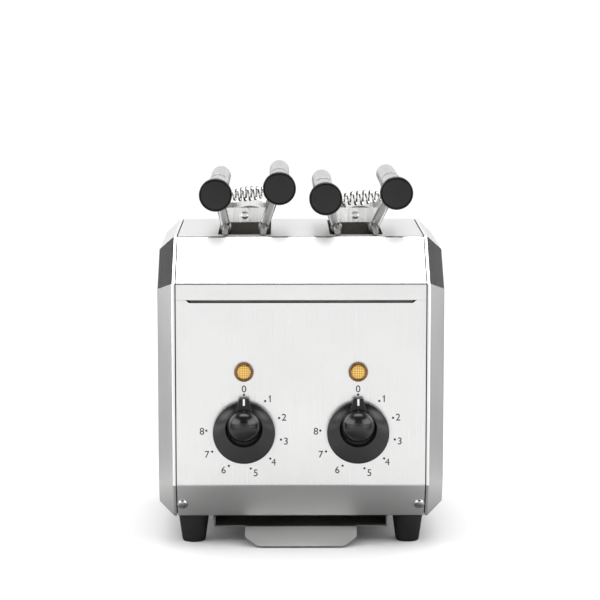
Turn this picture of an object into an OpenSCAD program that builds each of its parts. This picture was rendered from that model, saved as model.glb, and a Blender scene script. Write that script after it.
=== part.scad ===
// Two-slot sandwich toaster with spring tongs.
// Origin: middle of the footprint on the worktop. +Z is up, the controls face -Y.

/* [Casing] */
// Width of the wrapped middle of the casing
wrap_w = 200; // [190:1:220]
// Depth of the casing, front panel to rear panel
case_d = 240; // [236:1:260]
// Height of the top plate above the worktop
case_h = 247; // [242:1:264]
// Height of the underside of the casing above the worktop
base_z = 23.3; // [21.5:0.1:27]
// Thickness of the casing sheet
sheet = 1; // [0.8:0.1:1.4]
// Depth that the upper slope takes from the top plate
top_run = 45; // [40:1:50]
// Height that the upper slope takes from the front panel
top_fall = 33; // [28:1:38]
// Depth that the lower slope takes from the underside
low_run = 19; // [16:1:22]
// Height that the lower slope takes from the front panel
low_rise = 29.7; // [26:0.1:34]
// Depth of the flange folded in under the casing
under_flange = 31; // [30:0.5:34]

/* [Upper cover] */
// Height of the upright band below the upper slope
band_h = 13; // [10:0.5:16]
// Height of the vent slit under the band
vent_h = 1.8; // [1.4:0.1:2.4]
// Length of the vent slit
vent_w = 182; // [160:1:186]
// Seam between the cover and the panels
seam = 0.15; // [0.1:0.05:0.3]

/* [Side panels] */
// Width of the strip that is level with the wrap
strip_w = 3; // [2:0.5:5]
// Size of the bevel round the side panel
side_bevel = 11; // [8:0.5:14]
// Gap between the wrap and a side panel
side_gap = 0.3; // [0.2:0.05:0.5]

/* [Slots and chamber] */
// Distance from the middle plane to a slot
slot_x = 45.5; // [43:0.5:48]
// Width of a slot in the top plate
slot_w = 43; // [41:0.5:45]
// Length of a slot in the top plate
slot_l = 122; // [118:1:126]
// Corner radius of a slot
slot_r = 1.5; // [0.5:0.25:3]
// Thickness of the chamber's reflector sheet
liner_t = 1; // [0.8:0.1:1.4]
// Inner depth of the chamber
chamber_d = 131; // [128:1:136]
// Inner width of the chamber
chamber_w = 175; // [172:1:180]
// Gap between the reflectors and the top plate
liner_gap = 0.3; // [0.2:0.1:0.6]
// Distance from the middle of a slot to a wire guard
guard_x = 28.5; // [28:0.25:29.5]
// Diameter of the guard wire
guard_wire = 2; // [1.6:0.1:2.2]
// Spacing of the guard's long wires
guard_pitch = 22; // [18:1:26]
// Height of the lowest guard wire
guard_low = 70; // [64:1:76]

/* [Heaters] */
// Distance from the middle of a slot to a heating tube
heater_x = 34.5; // [34:0.25:35.5]
// Diameter of a heating tube
heater_d = 6.5; // [6:0.1:7]
// Height of the lowest run of a heating tube
heater_low = 84; // [80:1:94]
// Spacing of the runs of a heating tube
heater_pitch = 30; // [26:1:32]
// Straight length of a run
heater_run = 84; // [76:1:88]
// How far the ends of a heating tube stand in front of the chamber
heater_tail = 18; // [14:1:20]
// Outer diameter of a ceramic bush
bush_d = 11; // [10:0.5:12]
// Length of a ceramic bush
bush_l = 8; // [6:0.5:10]

/* [Controls] */
// Distance from the middle plane to a timer
timer_x = 45.3; // [42:0.1:48]
// Height of the timer shafts
timer_z = 95.3; // [90:0.1:102]
// Width of a timer
timer_w = 42; // [38:1:46]
// Height of a timer
timer_h = 46; // [40:1:50]
// Depth of a timer
timer_d = 28; // [24:1:30]
// Diameter of a timer shaft
shaft_d = 6; // [5:0.1:7]
// Diameter of the neck that carries a timer in the front panel
neck_d = 9; // [8:0.5:11]
// How far the neck stands in front of the panel
neck_reach = 0.6; // [0.4:0.1:0.8]
// Radial running gap of a shaft in its timer
shaft_play = 0.05; // [0.02:0.01:0.1]
// Diameter of a knob's skirt
knob_d = 49.5; // [46:0.5:52]
// Height of a knob's skirt
skirt_h = 5.5; // [4:0.5:7]
// Gap between a knob and the front panel
knob_gap = 1; // [0.9:0.1:1.6]
// Diameter of a knob's ball grip
grip_d = 26.6; // [24:0.2:28]
// How far the knob's grip sits towards its pointer
grip_shift = 2.6; // [0:0.1:3]
// Height of a knob
knob_h = 21; // [19:0.5:24]
// How far the pointer stands beyond the skirt
pointer_reach = 3; // [1.5:0.1:3.5]
// Width of the pointer
pointer_w = 9; // [7:0.5:11]
// Height of the pilot lamps
lamp_z = 143.7; // [136:0.1:150]
// Diameter of a lamp's ring
lamp_ring_d = 15.6; // [14:0.2:18]
// Diameter of a lamp's stem
lamp_stem_d = 11.5; // [10:0.2:12.5]
// How far a lamp stands in front of the panel
lamp_reach = 3.4; // [2.5:0.1:4.5]

/* [Feet and tray] */
// Gap between a tray rail and a foot
foot_gap = 2.9; // [1:0.1:4]
// Distance from the middle plane to a foot, front and rear
foot_y = 85; // [83.5:0.5:86]
// Diameter of a foot at the top
foot_top_d = 25; // [22:0.5:27]
// Diameter of a foot at the worktop
foot_low_d = 18.3; // [16:0.1:21]
// Width of the crumb tray
tray_w = 140; // [134:1:142]
// Length of the crumb tray
tray_l = 185; // [175:1:190]
// Height of the tray's walls
tray_wall = 8; // [6:0.5:8.5]
// Height of the tray's floor above the worktop
tray_z = 13.6; // [13:0.2:15]
// Thickness of the tray's sheet
tray_t = 1; // [0.8:0.1:1.2]
// Width of the tray's pull tab
tab_w = 90; // [70:1:110]
// Height left under the front edge of the tab
tab_clear = 0.8; // [0.5:0.1:1.5]
// Slope of the pull tab
tab_angle = 36; // [30:1:42]
// Size of the cut corners of the pull tab
tab_cut = 10; // [6:0.5:12]
// Sliding gap round the tray
tray_gap = 0.3; // [0.2:0.05:0.5]

/* [Tongs] */
// Height of a tong's pivot above the top plate
pivot_up = 12.6; // [11.5:0.1:14]
// Distance from a tong's middle to its ears
ear_y = 25; // [22:0.5:28]
// Thickness of a tong's arms
arm_t = 2; // [1.5:0.1:2.2]
// Width of a tong's arms
arm_w = 6; // [5:0.25:7]
// Half height of the ears round the pivot
ear_r = 6; // [5.5:0.25:6.5]
// Diameter of a tong's pivot pin
pin_d = 4; // [3.5:0.1:4.5]
// Diameter of the rivet heads on a pivot pin
rivet_d = 6.4; // [5.6:0.2:7.4]
// Distance from the pivot to the near handle
near_r = 31; // [30:0.5:33]
// Distance from the pivot to the far handle
far_r = 38.7; // [37:0.1:40]
// Rise of the left tong's handles, in degrees
left_rise = 42.6; // [40:0.2:45]
// Rise of the right tong's handles, in degrees
right_rise = 35.3; // [33:0.1:38]
// Diameter of a handle tube
tube_d = 17; // [16:0.5:18]
// Wall of a handle tube
tube_t = 1; // [0.8:0.1:1.5]
// Front end of a handle tube, from the tong's middle
tube_front = 74; // [68:1:80]
// Rear end of a handle tube, from the tong's middle
tube_rear = 125; // [100:1:132]
// Diameter of a handle's black cap
cap_d = 26.6; // [24:0.2:28]
// Thickness of a handle's black cap
cap_t = 7; // [5:0.5:9]
// Distance from the pivot's plane to a tong's rest rail
rail_x = 15.5; // [15:0.25:16]
// Diameter of a rest rail
rail_d = 5; // [4:0.25:5.5]
// How far a rest rail lies over the rim at each end of the slot
rail_lap = 7; // [5:0.5:9]
// Distance from the pivot's plane to the foot of a closed jaw
jaw_foot_x = 4; // [3.5:0.25:6]
// Depth of a jaw below its rest rail
jaw_drop = 168; // [150:1:172]
// Width of a jaw
jaw_w = 104; // [98:1:106]
// Number of a jaw's upright wires
jaw_wires = 7; // [5:2:7]
// Diameter of a jaw's side rods
jaw_rod = 4; // [3:0.25:4.25]
// Diameter of a jaw's inner wires
jaw_wire = 2.6; // [2:0.1:3]

/* [Springs] */
// Diameter of the spring wire
wire_d = 1.6; // [1.2:0.1:1.8]
// Outer diameter of a spring at its middle
spring_d = 13.6; // [12:0.2:14.4]
// Outer diameter of a spring at its ends
spring_end_d = 8.8; // [8:0.1:9.4]
// Number of curls in a spring
curls = 7; // [5:1:8]
// Distance of the spring in front of the tong's middle
spring_y = 38; // [36:0.5:44]
// How far the spring lies below the line between the handles
spring_low = 5; // [4:0.25:6]
// How far a spring seat stands out of its handle tube
seat_reach = 2; // [1.5:0.25:2.5]
// Gap between a spring and its seats
spring_gap = 0.3; // [0.2:0.05:0.4]

/* [Cord entry] */
// Distance of the cord gland from the middle plane
gland_x = 58; // [40:1:70]
// Height of the cord gland
gland_z = 70; // [64:1:84]
// Bore of the cord gland
gland_bore = 8; // [6:0.5:9]
// Diameter of the gland's neck in the rear panel
gland_neck = 14; // [12:0.5:16]
// Width across the gland's nut
gland_nut = 19; // [18:0.5:22]
// How far the gland stands behind the rear panel
gland_reach = 22; // [18:0.5:24]

/* [Hidden] */
$fn = 48;
fit = 0.05;
cut = 1;
tilt_y = [90, 0, 90];
wrap_half = wrap_w / 2;
front_y = -case_d / 2;
rear_y = case_d / 2;
inner_front = front_y + sheet;
floor_z = base_z + sheet;
deck_z = floor_z + sheet;
band_z = case_h - top_fall - band_h;
panel_top = band_z - seam;

// Outline of the casing from the side, counted round from the lower front corner
case_outline = [
    [front_y + low_run, base_z],
    [rear_y - low_run, base_z],
    [rear_y, base_z + low_rise],
    [rear_y, case_h - top_fall],
    [rear_y - top_run, case_h],
    [front_y + top_run, case_h],
    [front_y, case_h - top_fall],
    [front_y, base_z + low_rise]
];

function inward(a, b) = let (u = (b - a) / norm(b - a)) [-u[1], u[0]];
function inset_corner(a, b, c, d) =
    let (n = inward(a, b), m = inward(b, c)) b + (n + m) * d / (1 + n * m);
function inset(pts, d) =
    let (n = len(pts))
    [for (i = [0:n - 1]) inset_corner(pts[(i + n - 1) % n], pts[i], pts[(i + 1) % n], d)];

// Louvres of the rear panel, and the opening in the base plate that the crumbs fall through
louvre_count = 9;
louvre_pitch = 12;
louvre_w = 4;
louvre_h = 34;
louvre_z = 144;
crumb_w = 130;
crumb_l = 118;
deck_margin = 1;

// Lower slope: its direction, its outward turn and the place of its screws
slope_angle = atan2(low_rise, low_run);
screw_along = 14;
screw_head_d = 9;
screw_crown_d = 7;
screw_head_h = 2.4;
screw_d = 4;
screw_l = 9;
screw_edge = 5;
screw_x = wrap_half - screw_edge;
screw_y = front_y + low_run - screw_along * cos(slope_angle);
screw_z = base_z + screw_along * sin(slope_angle);

chamber_half_d = chamber_d / 2;
chamber_half_w = chamber_w / 2;
liner_top = case_h - sheet - liner_gap;
heater_bend = heater_pitch / 2;
heater_high = heater_low + 3 * heater_pitch;
heater_places = [-slot_x - heater_x, -slot_x + heater_x, slot_x - heater_x, slot_x + heater_x];
guard_count = 7;
guard_upright_d = 2.4;
guard_upright_y = 45;
divider_low = 44;

// Knobs, lamps and the mains entry
knob_back = front_y - knob_gap;
knob_bore = 12;
knob_rim = 1;
knob_dish = 0.8;
knob_recess_r = 14.7;
pointer_h = 2.6;
pointer_sink = 1;
pointer_in = 10;
lamp_crown_h = 1.2;
lamp_stem_l = 8;
lamp_holder_l = 22;
lamp_holder_d = 15;
block_w = 36;
block_d = 18;
block_h = 16;
block_ways = 3;
block_wire_d = 5;
block_clamp_d = 4;
block_y = (chamber_half_d + liner_t + rear_y - low_run - block_d) / 2;
gland_flange = 3;
gland_nut_at = 7;
gland_nut_h = 8;
gland_inside = 8;

// Tray, its rails, and the feet that stand beside the rails
rail_sheet = 1;
tray_rail_x = tray_w / 2 + tray_gap;
foot_x = tray_rail_x + rail_sheet + foot_gap + foot_top_d / 2;
foot_screw_d = 4;
foot_screw_head = 8.6;
foot_screw_head_h = 3;
foot_nut_w = 8;
foot_nut_h = 3.2;
foot_recess = 9;
foot_recess_play = 0.5;
tray_lip = 8;
tray_setback = 22;
tray_front = front_y + tray_setback;
tab_l = (tray_z - tab_clear) / sin(tab_angle);
tray_rail_l = case_d - 2 * (low_run + under_flange + cut);

pivot_z = case_h + pivot_up;
rail_down = pivot_up - tray_gap - rail_d / 2;
jaw_tilt = atan2(rail_x - jaw_foot_x, jaw_drop);
jaw_cross = [46, 87, 128];
cross_step = 0.4;
ear_gap = 0.1;
roof_t = 1.2;
roof_r = 24;
roof_shift = 4;
roof_up = 8.6;
roof_spread = 28;
eye_wall = 2;
rivet_crown_d = 4.4;
rivet_h = 1.6;
cap_edge = 1.5;
seat_d = 9;
plug_l = 12;

// Handle centres of a tong seen from the front, from its pivot
function near_at(rise) = near_r * [-cos(rise), sin(rise)];
function far_at(rise) = far_r * [cos(rise), sin(rise)];

// Middle of the spring and its direction, on a line below the one between the handles
function spring_dir(rise) = (far_at(rise) - near_at(rise)) / norm(far_at(rise) - near_at(rise));
function spring_side(rise) = let (u = spring_dir(rise)) [u[1], -u[0]];
function seat_face() = sqrt(pow(tube_d / 2, 2) - pow(spring_low, 2)) + seat_reach;
function spring_l(rise) = norm(far_at(rise) - near_at(rise)) - 2 * (seat_face() + spring_gap);

// Centre line of a spring along +X, from its first end: straight, curls, straight
function curl_r(t) =
    (spring_end_d + (spring_d - spring_end_d) * sin(180 * t) - wire_d) / 2;
function curl_point(t, length) =
    [wire_d + t * (length - 2 * wire_d),
     curl_r(t) * cos(360 * curls * t),
     curl_r(t) * sin(360 * curls * t)];
curl_rings = 8;
function spring_path(length) = concat(
    [[0, curl_r(0), 0]],
    [for (i = [0:curls * curl_rings]) curl_point(i / (curls * curl_rings), length)],
    [[length, curl_r(1), 0]]
);
function turned(path, i) =
    let (a = path[max(i - 1, 0)], b = path[min(i + 1, len(path) - 1)]) (b - a) / norm(b - a);
function across(path, i) =
    let (
        t = turned(path, i),
        out = [0, path[i][1], path[i][2]] / norm([path[i][1], path[i][2]]),
        flat = out - t * (out * t)
    )
    flat / norm(flat);
wire_sides = 6;
function wire_ring(path, i) =
    let (t = turned(path, i), u = across(path, i), v = cross(t, u))
    [for (k = [0:wire_sides - 1])
        let (a = 360 * k / wire_sides) path[i] + wire_d / 2 * (u * cos(a) + v * sin(a))];

// Least gap between one curl and the next, measured on the points of the centre line
function self_gap(path) =
    min([for (i = [0:len(path) - 1], j = [i + curl_rings / 2:1:len(path) - 1])
        norm(path[i] - path[j])]) - wire_d;
echo(left_spring_gap = self_gap(spring_path(spring_l(left_rise))));
echo(right_spring_gap = self_gap(spring_path(spring_l(right_rise))));

// Helpers

// A side outline drawn in Y and Z, drawn out along X about the middle plane
module along_x(width) {
    rotate(tilt_y) linear_extrude(height = width, center = true) children();
}

// A front outline drawn in X and Z, drawn out along Y from the plane y towards the rear
module along_y(y, depth) {
    translate([0, y + depth, 0]) rotate([90, 0, 0]) linear_extrude(height = depth) children();
}

// A round bar along Y
module bar_y(x, y0, y1, z, d) {
    translate([x, y0, z]) rotate([-90, 0, 0]) cylinder(h = y1 - y0, d = d);
}

// The casing's sheet, seen from the side
module case_sheet() {
    difference() {
        polygon(case_outline);
        polygon(inset(case_outline, sheet));
    }
}

// A rectangle with round corners, about its middle
module round_rect(w, l, r) {
    square([w - 2 * r, l], center = true);
    square([w, l - 2 * r], center = true);
    for (x = [-1, 1], y = [-1, 1]) {
        translate([x * (w / 2 - r), y * (l / 2 - r)]) circle(r);
    }
}

// Places on the lower slopes, with +Z pointing out of the slope
module at_case_screws(faces = [1, -1]) {
    for (x = [-1, 1], f = faces) {
        translate([x * screw_x, f * screw_y, screw_z])
            rotate([f * (180 - slope_angle), 0, 0]) children();
    }
}

module at_feet() {
    for (x = [-1, 1], y = [-1, 1]) translate([x * foot_x, y * foot_y, 0]) children();
}

// Casing

module top_cover() {
    color("gainsboro") difference() {
        along_x(wrap_w - 2 * side_gap) intersection() {
            case_sheet();
            translate([-case_d, band_z]) square([2 * case_d, case_h]);
        }
        for (x = [-1, 1]) {
            translate([x * slot_x, 0, case_h - sheet - cut])
                linear_extrude(height = sheet + 2 * cut) round_rect(slot_w, slot_l, slot_r);
        }
    }
}

// The sheet of a front or rear panel, drawn as the front one
module panel_sheet() {
    along_x(wrap_w - 2 * side_gap) intersection() {
        case_sheet();
        translate([front_y - cut, base_z - cut])
            square([low_run + under_flange + cut, panel_top - base_z + cut]);
    }
}

// The vent slit left open under the band
module vent_slit() {
    along_y(front_y - cut, sheet + 2 * cut) polygon([
        [-vent_w / 2, panel_top + cut],
        [-vent_w / 2 + 2 * vent_h, panel_top - vent_h],
        [vent_w / 2 - 2 * vent_h, panel_top - vent_h],
        [vent_w / 2, panel_top + cut]
    ]);
}

module foot_holes() {
    at_feet() cylinder(h = deck_z + cut, d = foot_screw_d + 2 * fit);
}

module front_panel() {
    color("whitesmoke") difference() {
        panel_sheet();
        vent_slit();
        for (x = [-1, 1]) {
            bar_y(x * timer_x, front_y - cut, inner_front + cut, timer_z, neck_d + 2 * fit);
            bar_y(x * timer_x, front_y - cut, inner_front + cut, lamp_z, lamp_stem_d + 2 * fit);
        }
        at_case_screws([1]) cylinder(h = 4 * sheet, d = screw_d + 2 * fit, center = true);
        foot_holes();
    }
}

module rear_panel() {
    color("gainsboro") difference() {
        mirror([0, 1, 0]) panel_sheet();
        mirror([0, 1, 0]) vent_slit();
        bar_y(gland_x, rear_y - sheet - cut, rear_y + cut, gland_z, gland_neck + 2 * fit);
        along_y(rear_y - sheet - cut, sheet + 2 * cut) for (i = [0:louvre_count - 1]) {
            translate([(i - (louvre_count - 1) / 2) * louvre_pitch, louvre_z])
                round_rect(louvre_w, louvre_h, louvre_w / 2 - fit);
        }
        at_case_screws([-1]) cylinder(h = 4 * sheet, d = screw_d + 2 * fit, center = true);
        foot_holes();
    }
}

// A block bounded by the strip, the bevel and the flat side, shrunk by a wall
module side_block(wall) {
    outer = inset(case_outline, wall);
    bevelled = inset(case_outline, side_bevel + wall);
    hull() {
        rotate(tilt_y) linear_extrude(height = strip_w) polygon(outer);
        rotate(tilt_y) linear_extrude(height = strip_w + side_bevel - wall) polygon(bevelled);
    }
}

module side_panel() {
    translate([wrap_half, 0, 0]) difference() {
        side_block(0);
        translate([-fit, 0, 0]) side_block(sheet);
    }
}

module right_side_panel() { color("silver") side_panel(); }
module left_side_panel() { color("silver") mirror([1, 0, 0]) side_panel(); }

module base_plate() {
    deck_w = wrap_w - 2 * (side_gap + deck_margin);
    deck_l = case_d - 2 * (low_run + deck_margin);
    color("darkgray") difference() {
        translate([-deck_w / 2, -deck_l / 2, floor_z]) cube([deck_w, deck_l, sheet]);
        translate([-crumb_w / 2, -crumb_l / 2, floor_z - cut]) cube([crumb_w, crumb_l, sheet + 2 * cut]);
        foot_holes();
    }
}

module rubber_feet() {
    color("#1c1c1c") at_feet() difference() {
        cylinder(h = base_z, d1 = foot_low_d, d2 = foot_top_d);
        translate([0, 0, -cut])
            cylinder(h = foot_recess + cut, d = foot_screw_head + 2 * foot_recess_play);
        cylinder(h = base_z + cut, d = foot_screw_d + 2 * fit);
    }
}

module foot_screws() {
    color("silver") at_feet() {
        translate([0, 0, foot_recess - foot_screw_head_h])
            cylinder(h = foot_screw_head_h, d = foot_screw_head);
        translate([0, 0, foot_recess - cut])
            cylinder(h = deck_z + foot_nut_h - foot_recess + 2 * cut, d = foot_screw_d);
        translate([0, 0, deck_z]) cylinder(h = foot_nut_h, d = foot_nut_w, $fn = 6);
    }
}

module case_screws() {
    color("silver") at_case_screws() {
        cylinder(h = screw_head_h, d1 = screw_head_d, d2 = screw_crown_d);
        translate([0, 0, -screw_l]) cylinder(h = screw_l + cut, d = screw_d);
    }
}

// Crumb tray and its rails

module crumb_tray() {
    color("darkgray") translate([0, tray_front, tray_z]) {
        difference() {
            translate([-tray_w / 2, 0, 0]) cube([tray_w, tray_l, tray_wall]);
            translate([-tray_w / 2 + tray_t, -cut, tray_t])
                cube([tray_w - 2 * tray_t, tray_l - tray_t + cut, tray_wall]);
        }
        rotate([tab_angle, 0, 0]) linear_extrude(height = tray_t) polygon([
            [-tab_w / 2, tray_t],
            [-tab_w / 2, tab_cut - tab_l],
            [-tab_w / 2 + tab_cut, -tab_l],
            [tab_w / 2 - tab_cut, -tab_l],
            [tab_w / 2, tab_cut - tab_l],
            [tab_w / 2, tray_t]
        ]);
    }
}

module tray_rail() {
    color("dimgray") along_y(-tray_rail_l / 2, tray_rail_l) polygon([
        [tray_rail_x - tray_lip, tray_z - tray_gap - rail_sheet],
        [tray_rail_x + rail_sheet, tray_z - tray_gap - rail_sheet],
        [tray_rail_x + rail_sheet, floor_z],
        [tray_rail_x, floor_z],
        [tray_rail_x, tray_z - tray_gap],
        [tray_rail_x - tray_lip, tray_z - tray_gap]
    ]);
}

module tray_rails() {
    tray_rail();
    mirror([1, 0, 0]) tray_rail();
}

// Heating chamber

module end_reflector(y, holes) {
    color("lightgray") difference() {
        translate([-chamber_half_w - liner_t, y, deck_z])
            cube([chamber_w + 2 * liner_t, liner_t, liner_top - deck_z]);
        if (holes) {
            at_heater_ends(y - cut) cylinder(h = liner_t + 2 * cut, d = bush_d + 2 * fit);
        }
    }
}

module side_reflector(x) {
    color("lightgray") translate([x, -chamber_half_d, deck_z])
        cube([liner_t, chamber_d, liner_top - deck_z]);
}

// Places where the heating tubes leave the chamber, with +Z towards the rear
module at_heater_ends(y) {
    for (x = heater_places, z = [heater_low, heater_high]) {
        translate([x, y, z]) rotate([-90, 0, 0]) children();
    }
}

module front_reflector() { end_reflector(-chamber_half_d - liner_t, true); }
module rear_reflector() { end_reflector(chamber_half_d, false); }
module side_reflectors() {
    side_reflector(-chamber_half_w - liner_t);
    side_reflector(chamber_half_w);
}

module divider() {
    color("lightgray") translate([-liner_t / 2, -chamber_half_d, divider_low])
        cube([liner_t, chamber_d, liner_top - divider_low]);
}

// A half turn of heating tube that joins the run at z to the next one up
module heater_turn(x, y, z, turn) {
    translate([x, y, z + heater_bend]) rotate([0, 0, turn]) rotate([0, 90, 0])
        rotate_extrude(angle = 180) translate([heater_bend, 0]) circle(d = heater_d);
}

module heater(x) {
    half = heater_run / 2;
    color("dimgray") {
        bar_y(x, -chamber_half_d - heater_tail, half, heater_low, heater_d);
        bar_y(x, -half, half, heater_low + heater_pitch, heater_d);
        bar_y(x, -half, half, heater_low + 2 * heater_pitch, heater_d);
        bar_y(x, -chamber_half_d - heater_tail, half, heater_high, heater_d);
        heater_turn(x, half, heater_low, 0);
        heater_turn(x, -half, heater_low + heater_pitch, 180);
        heater_turn(x, half, heater_low + 2 * heater_pitch, 0);
    }
}

module left_outer_heater() { heater(heater_places[0]); }
module left_inner_heater() { heater(heater_places[1]); }
module right_inner_heater() { heater(heater_places[2]); }
module right_outer_heater() { heater(heater_places[3]); }

module heater_bushes() {
    color("ivory") at_heater_ends(-chamber_half_d - (bush_l + liner_t) / 2) difference() {
        cylinder(h = bush_l, d = bush_d);
        translate([0, 0, -cut]) cylinder(h = bush_l + 2 * cut, d = heater_d + 2 * fit);
    }
}

// Long wires between the reflectors, welded to uprights
module guard(x) {
    guard_top = guard_low + (guard_count - 1) * guard_pitch;
    color("silver") {
        for (i = [0:guard_count - 1]) {
            bar_y(x, -chamber_half_d, chamber_half_d, guard_low + i * guard_pitch, guard_wire);
        }
        for (y = [-guard_upright_y, 0, guard_upright_y]) {
            translate([x, y, guard_low - guard_wire])
                cylinder(h = guard_top - guard_low + 2 * guard_wire, d = guard_upright_d);
        }
    }
}

// The two guards beside a slot
module slot_guards(x) {
    guard(x - guard_x);
    guard(x + guard_x);
}

module left_guards() { slot_guards(-slot_x); }
module right_guards() { slot_guards(slot_x); }

// Controls

module timer(x) {
    color("ivory") difference() {
        union() {
            translate([x - timer_w / 2, inner_front, timer_z - timer_h / 2])
                cube([timer_w, timer_d, timer_h]);
            bar_y(x, front_y - neck_reach, inner_front + cut, timer_z, neck_d);
        }
        bar_y(x, front_y - cut, inner_front + timer_d + cut, timer_z, shaft_d + 2 * shaft_play);
    }
}

module timer_shaft(x) {
    color("silver") bar_y(x, knob_back - knob_bore, inner_front + timer_d, timer_z, shaft_d);
}

// Half sections of a knob: radius and height above its back
module skirt_section() {
    polygon([
        [0, 0],
        [knob_d / 2 - knob_rim, 0],
        [knob_d / 2, knob_rim],
        [knob_d / 2, skirt_h - knob_rim],
        [knob_d / 2 - knob_rim, skirt_h],
        [knob_recess_r, skirt_h + knob_dish],
        [knob_recess_r - knob_rim, skirt_h - knob_rim],
        [0, skirt_h - knob_rim]
    ]);
}

module grip_section() {
    grip_r = grip_d / 2;
    crown = knob_h - grip_r;
    square([grip_r, crown]);
    intersection() {
        translate([0, crown]) circle(grip_r);
        square([grip_r, knob_h]);
    }
}

module knob(x) {
    color("#151515") translate([x, knob_back, timer_z]) rotate([90, 0, 0]) difference() {
        union() {
            rotate_extrude() skirt_section();
            translate([0, grip_shift, 0]) rotate_extrude() grip_section();
            translate([-pointer_w / 2, pointer_in, skirt_h - pointer_sink])
                cube([pointer_w, knob_d / 2 + pointer_reach - pointer_in, pointer_h]);
        }
        translate([0, 0, -cut]) cylinder(h = knob_bore + cut, d = shaft_d);
    }
}

module left_timer() { timer(-timer_x); }
module right_timer() { timer(timer_x); }
module left_timer_shaft() { timer_shaft(-timer_x); }
module right_timer_shaft() { timer_shaft(timer_x); }
module left_knob() { knob(-timer_x); }
module right_knob() { knob(timer_x); }

module lamp_lens(x) {
    color("orange") translate([x, front_y, lamp_z]) rotate([90, 0, 0]) rotate_extrude() polygon([
        [0, -lamp_stem_l],
        [lamp_stem_d / 2, -lamp_stem_l],
        [lamp_stem_d / 2, 0],
        [lamp_ring_d / 2, 0],
        [lamp_ring_d / 2, lamp_reach - lamp_crown_h],
        [lamp_stem_d / 2, lamp_reach],
        [0, lamp_reach]
    ]);
}

module lamp_holder(x) {
    color("dimgray") difference() {
        bar_y(x, inner_front, inner_front + lamp_holder_l, lamp_z, lamp_holder_d);
        bar_y(x, front_y, front_y + lamp_stem_l, lamp_z, lamp_stem_d + 2 * fit);
    }
}

module left_lamp_lens() { lamp_lens(-timer_x); }
module right_lamp_lens() { lamp_lens(timer_x); }

module lamp_holders() {
    lamp_holder(-timer_x);
    lamp_holder(timer_x);
}

// Mains entry

module terminal_block() {
    pitch = block_w / block_ways;
    color("white") translate([gland_x - block_w / 2, block_y, deck_z]) difference() {
        cube([block_w, block_d, block_h]);
        for (i = [0:block_ways - 1]) {
            translate([(i + 0.5) * pitch, -cut, block_h / 2]) rotate([-90, 0, 0])
                cylinder(h = block_d + 2 * cut, d = block_wire_d);
            translate([(i + 0.5) * pitch, block_d / 2, block_h / 2])
                cylinder(h = block_h, d = block_clamp_d);
        }
    }
}

module cord_gland() {
    color("#1c1c1c") translate([gland_x, rear_y, gland_z]) rotate([-90, 0, 0]) difference() {
        union() {
            translate([0, 0, -gland_inside]) cylinder(h = gland_inside + gland_reach, d = gland_neck);
            cylinder(h = gland_flange, d = gland_nut / cos(30), $fn = 6);
            translate([0, 0, gland_nut_at]) cylinder(h = gland_nut_h, d = gland_nut);
        }
        translate([0, 0, -gland_inside - cut])
            cylinder(h = gland_inside + gland_reach + 2 * cut, d = gland_bore);
    }
}

// Tongs: each is drawn about its pivot, with the near handle on the left

module at_tong(x) {
    translate([x, 0, pivot_z]) children();
}

// A straight flat strip between two points, with round ends
module strip(a, b, w) {
    span = b - a;
    translate(a) rotate(atan2(span[1], span[0])) translate([0, -w / 2]) square([norm(span), w]);
    translate(a) circle(d = w);
    translate(b) circle(d = w);
}

module tong_pin() {
    grip = ear_y + arm_t + ear_gap;
    color("silver") {
        bar_y(0, -grip - rivet_h / 2, grip + rivet_h / 2, 0, pin_d);
        for (s = [0, 180]) {
            rotate([0, 0, s]) translate([0, -grip, 0]) rotate([90, 0, 0])
                cylinder(h = rivet_h, d1 = rivet_d, d2 = rivet_crown_d);
        }
    }
}

// Front view of an arm: eye round the handle tube, strip, eye round the rest rail, ear
module arm_outline(handle, side) {
    rail = [side * rail_x, -rail_down];
    lean = (handle[0] - rail[0]) / (handle[1] - rail[1]);
    root = rail[0] + lean * rail_down;
    difference() {
        union() {
            strip(rail, handle, arm_w);
            circle(ear_r);
            polygon([
                [0, -ear_r],
                [root - lean * ear_r, -ear_r],
                [root + lean * ear_r, ear_r],
                [0, ear_r]
            ]);
            translate(handle) circle(d = tube_d + 2 * eye_wall);
            translate(rail) circle(d = rail_d + 2 * eye_wall);
        }
        translate(handle) circle(d = tube_d);
        translate(rail) circle(d = rail_d);
        circle(d = pin_d + 2 * fit);
    }
}

module near_arms(rise) {
    color("silver") for (y = [-ear_y - arm_t, ear_y]) {
        along_y(y, arm_t) arm_outline(near_at(rise), -1);
    }
}

// The arched roof that joins the two far arms over the pin
module roof_outline() {
    translate([roof_shift, roof_up - roof_r]) intersection() {
        difference() {
            circle(roof_r);
            circle(roof_r - roof_t);
        }
        polygon([[0, 0], [roof_r, roof_r / tan(roof_spread)], [-roof_r, roof_r / tan(roof_spread)]]);
    }
}

module far_arms(rise) {
    inner = ear_y - ear_gap;
    color("silver") {
        for (y = [-inner, inner - arm_t]) along_y(y, arm_t) {
            arm_outline(far_at(rise), 1);
            roof_outline();
        }
        along_y(-inner, 2 * inner) roof_outline();
    }
}

// A tube with a closed rear end and a seat that the spring bears on
module handle_tube(centre, toward, below) {
    bore = tube_d - 2 * tube_t;
    seat_from = spring_low / 2;
    color("silver") difference() {
        union() {
            bar_y(centre[0], -tube_front, tube_rear, centre[1], tube_d);
            translate([centre[0] + below[0] * spring_low, -spring_y, centre[1] + below[1] * spring_low])
                rotate([0, 90 - atan2(toward[1], toward[0]), 0])
                translate([0, 0, seat_from]) cylinder(h = seat_face() - seat_from, d = seat_d);
        }
        bar_y(centre[0], -tube_front - cut, tube_rear - tube_t, centre[1], bore);
    }
}

module near_handle(rise) {
    handle_tube(near_at(rise), spring_dir(rise), spring_side(rise));
}

module far_handle(rise) {
    handle_tube(far_at(rise), -spring_dir(rise), spring_side(rise));
}

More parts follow.
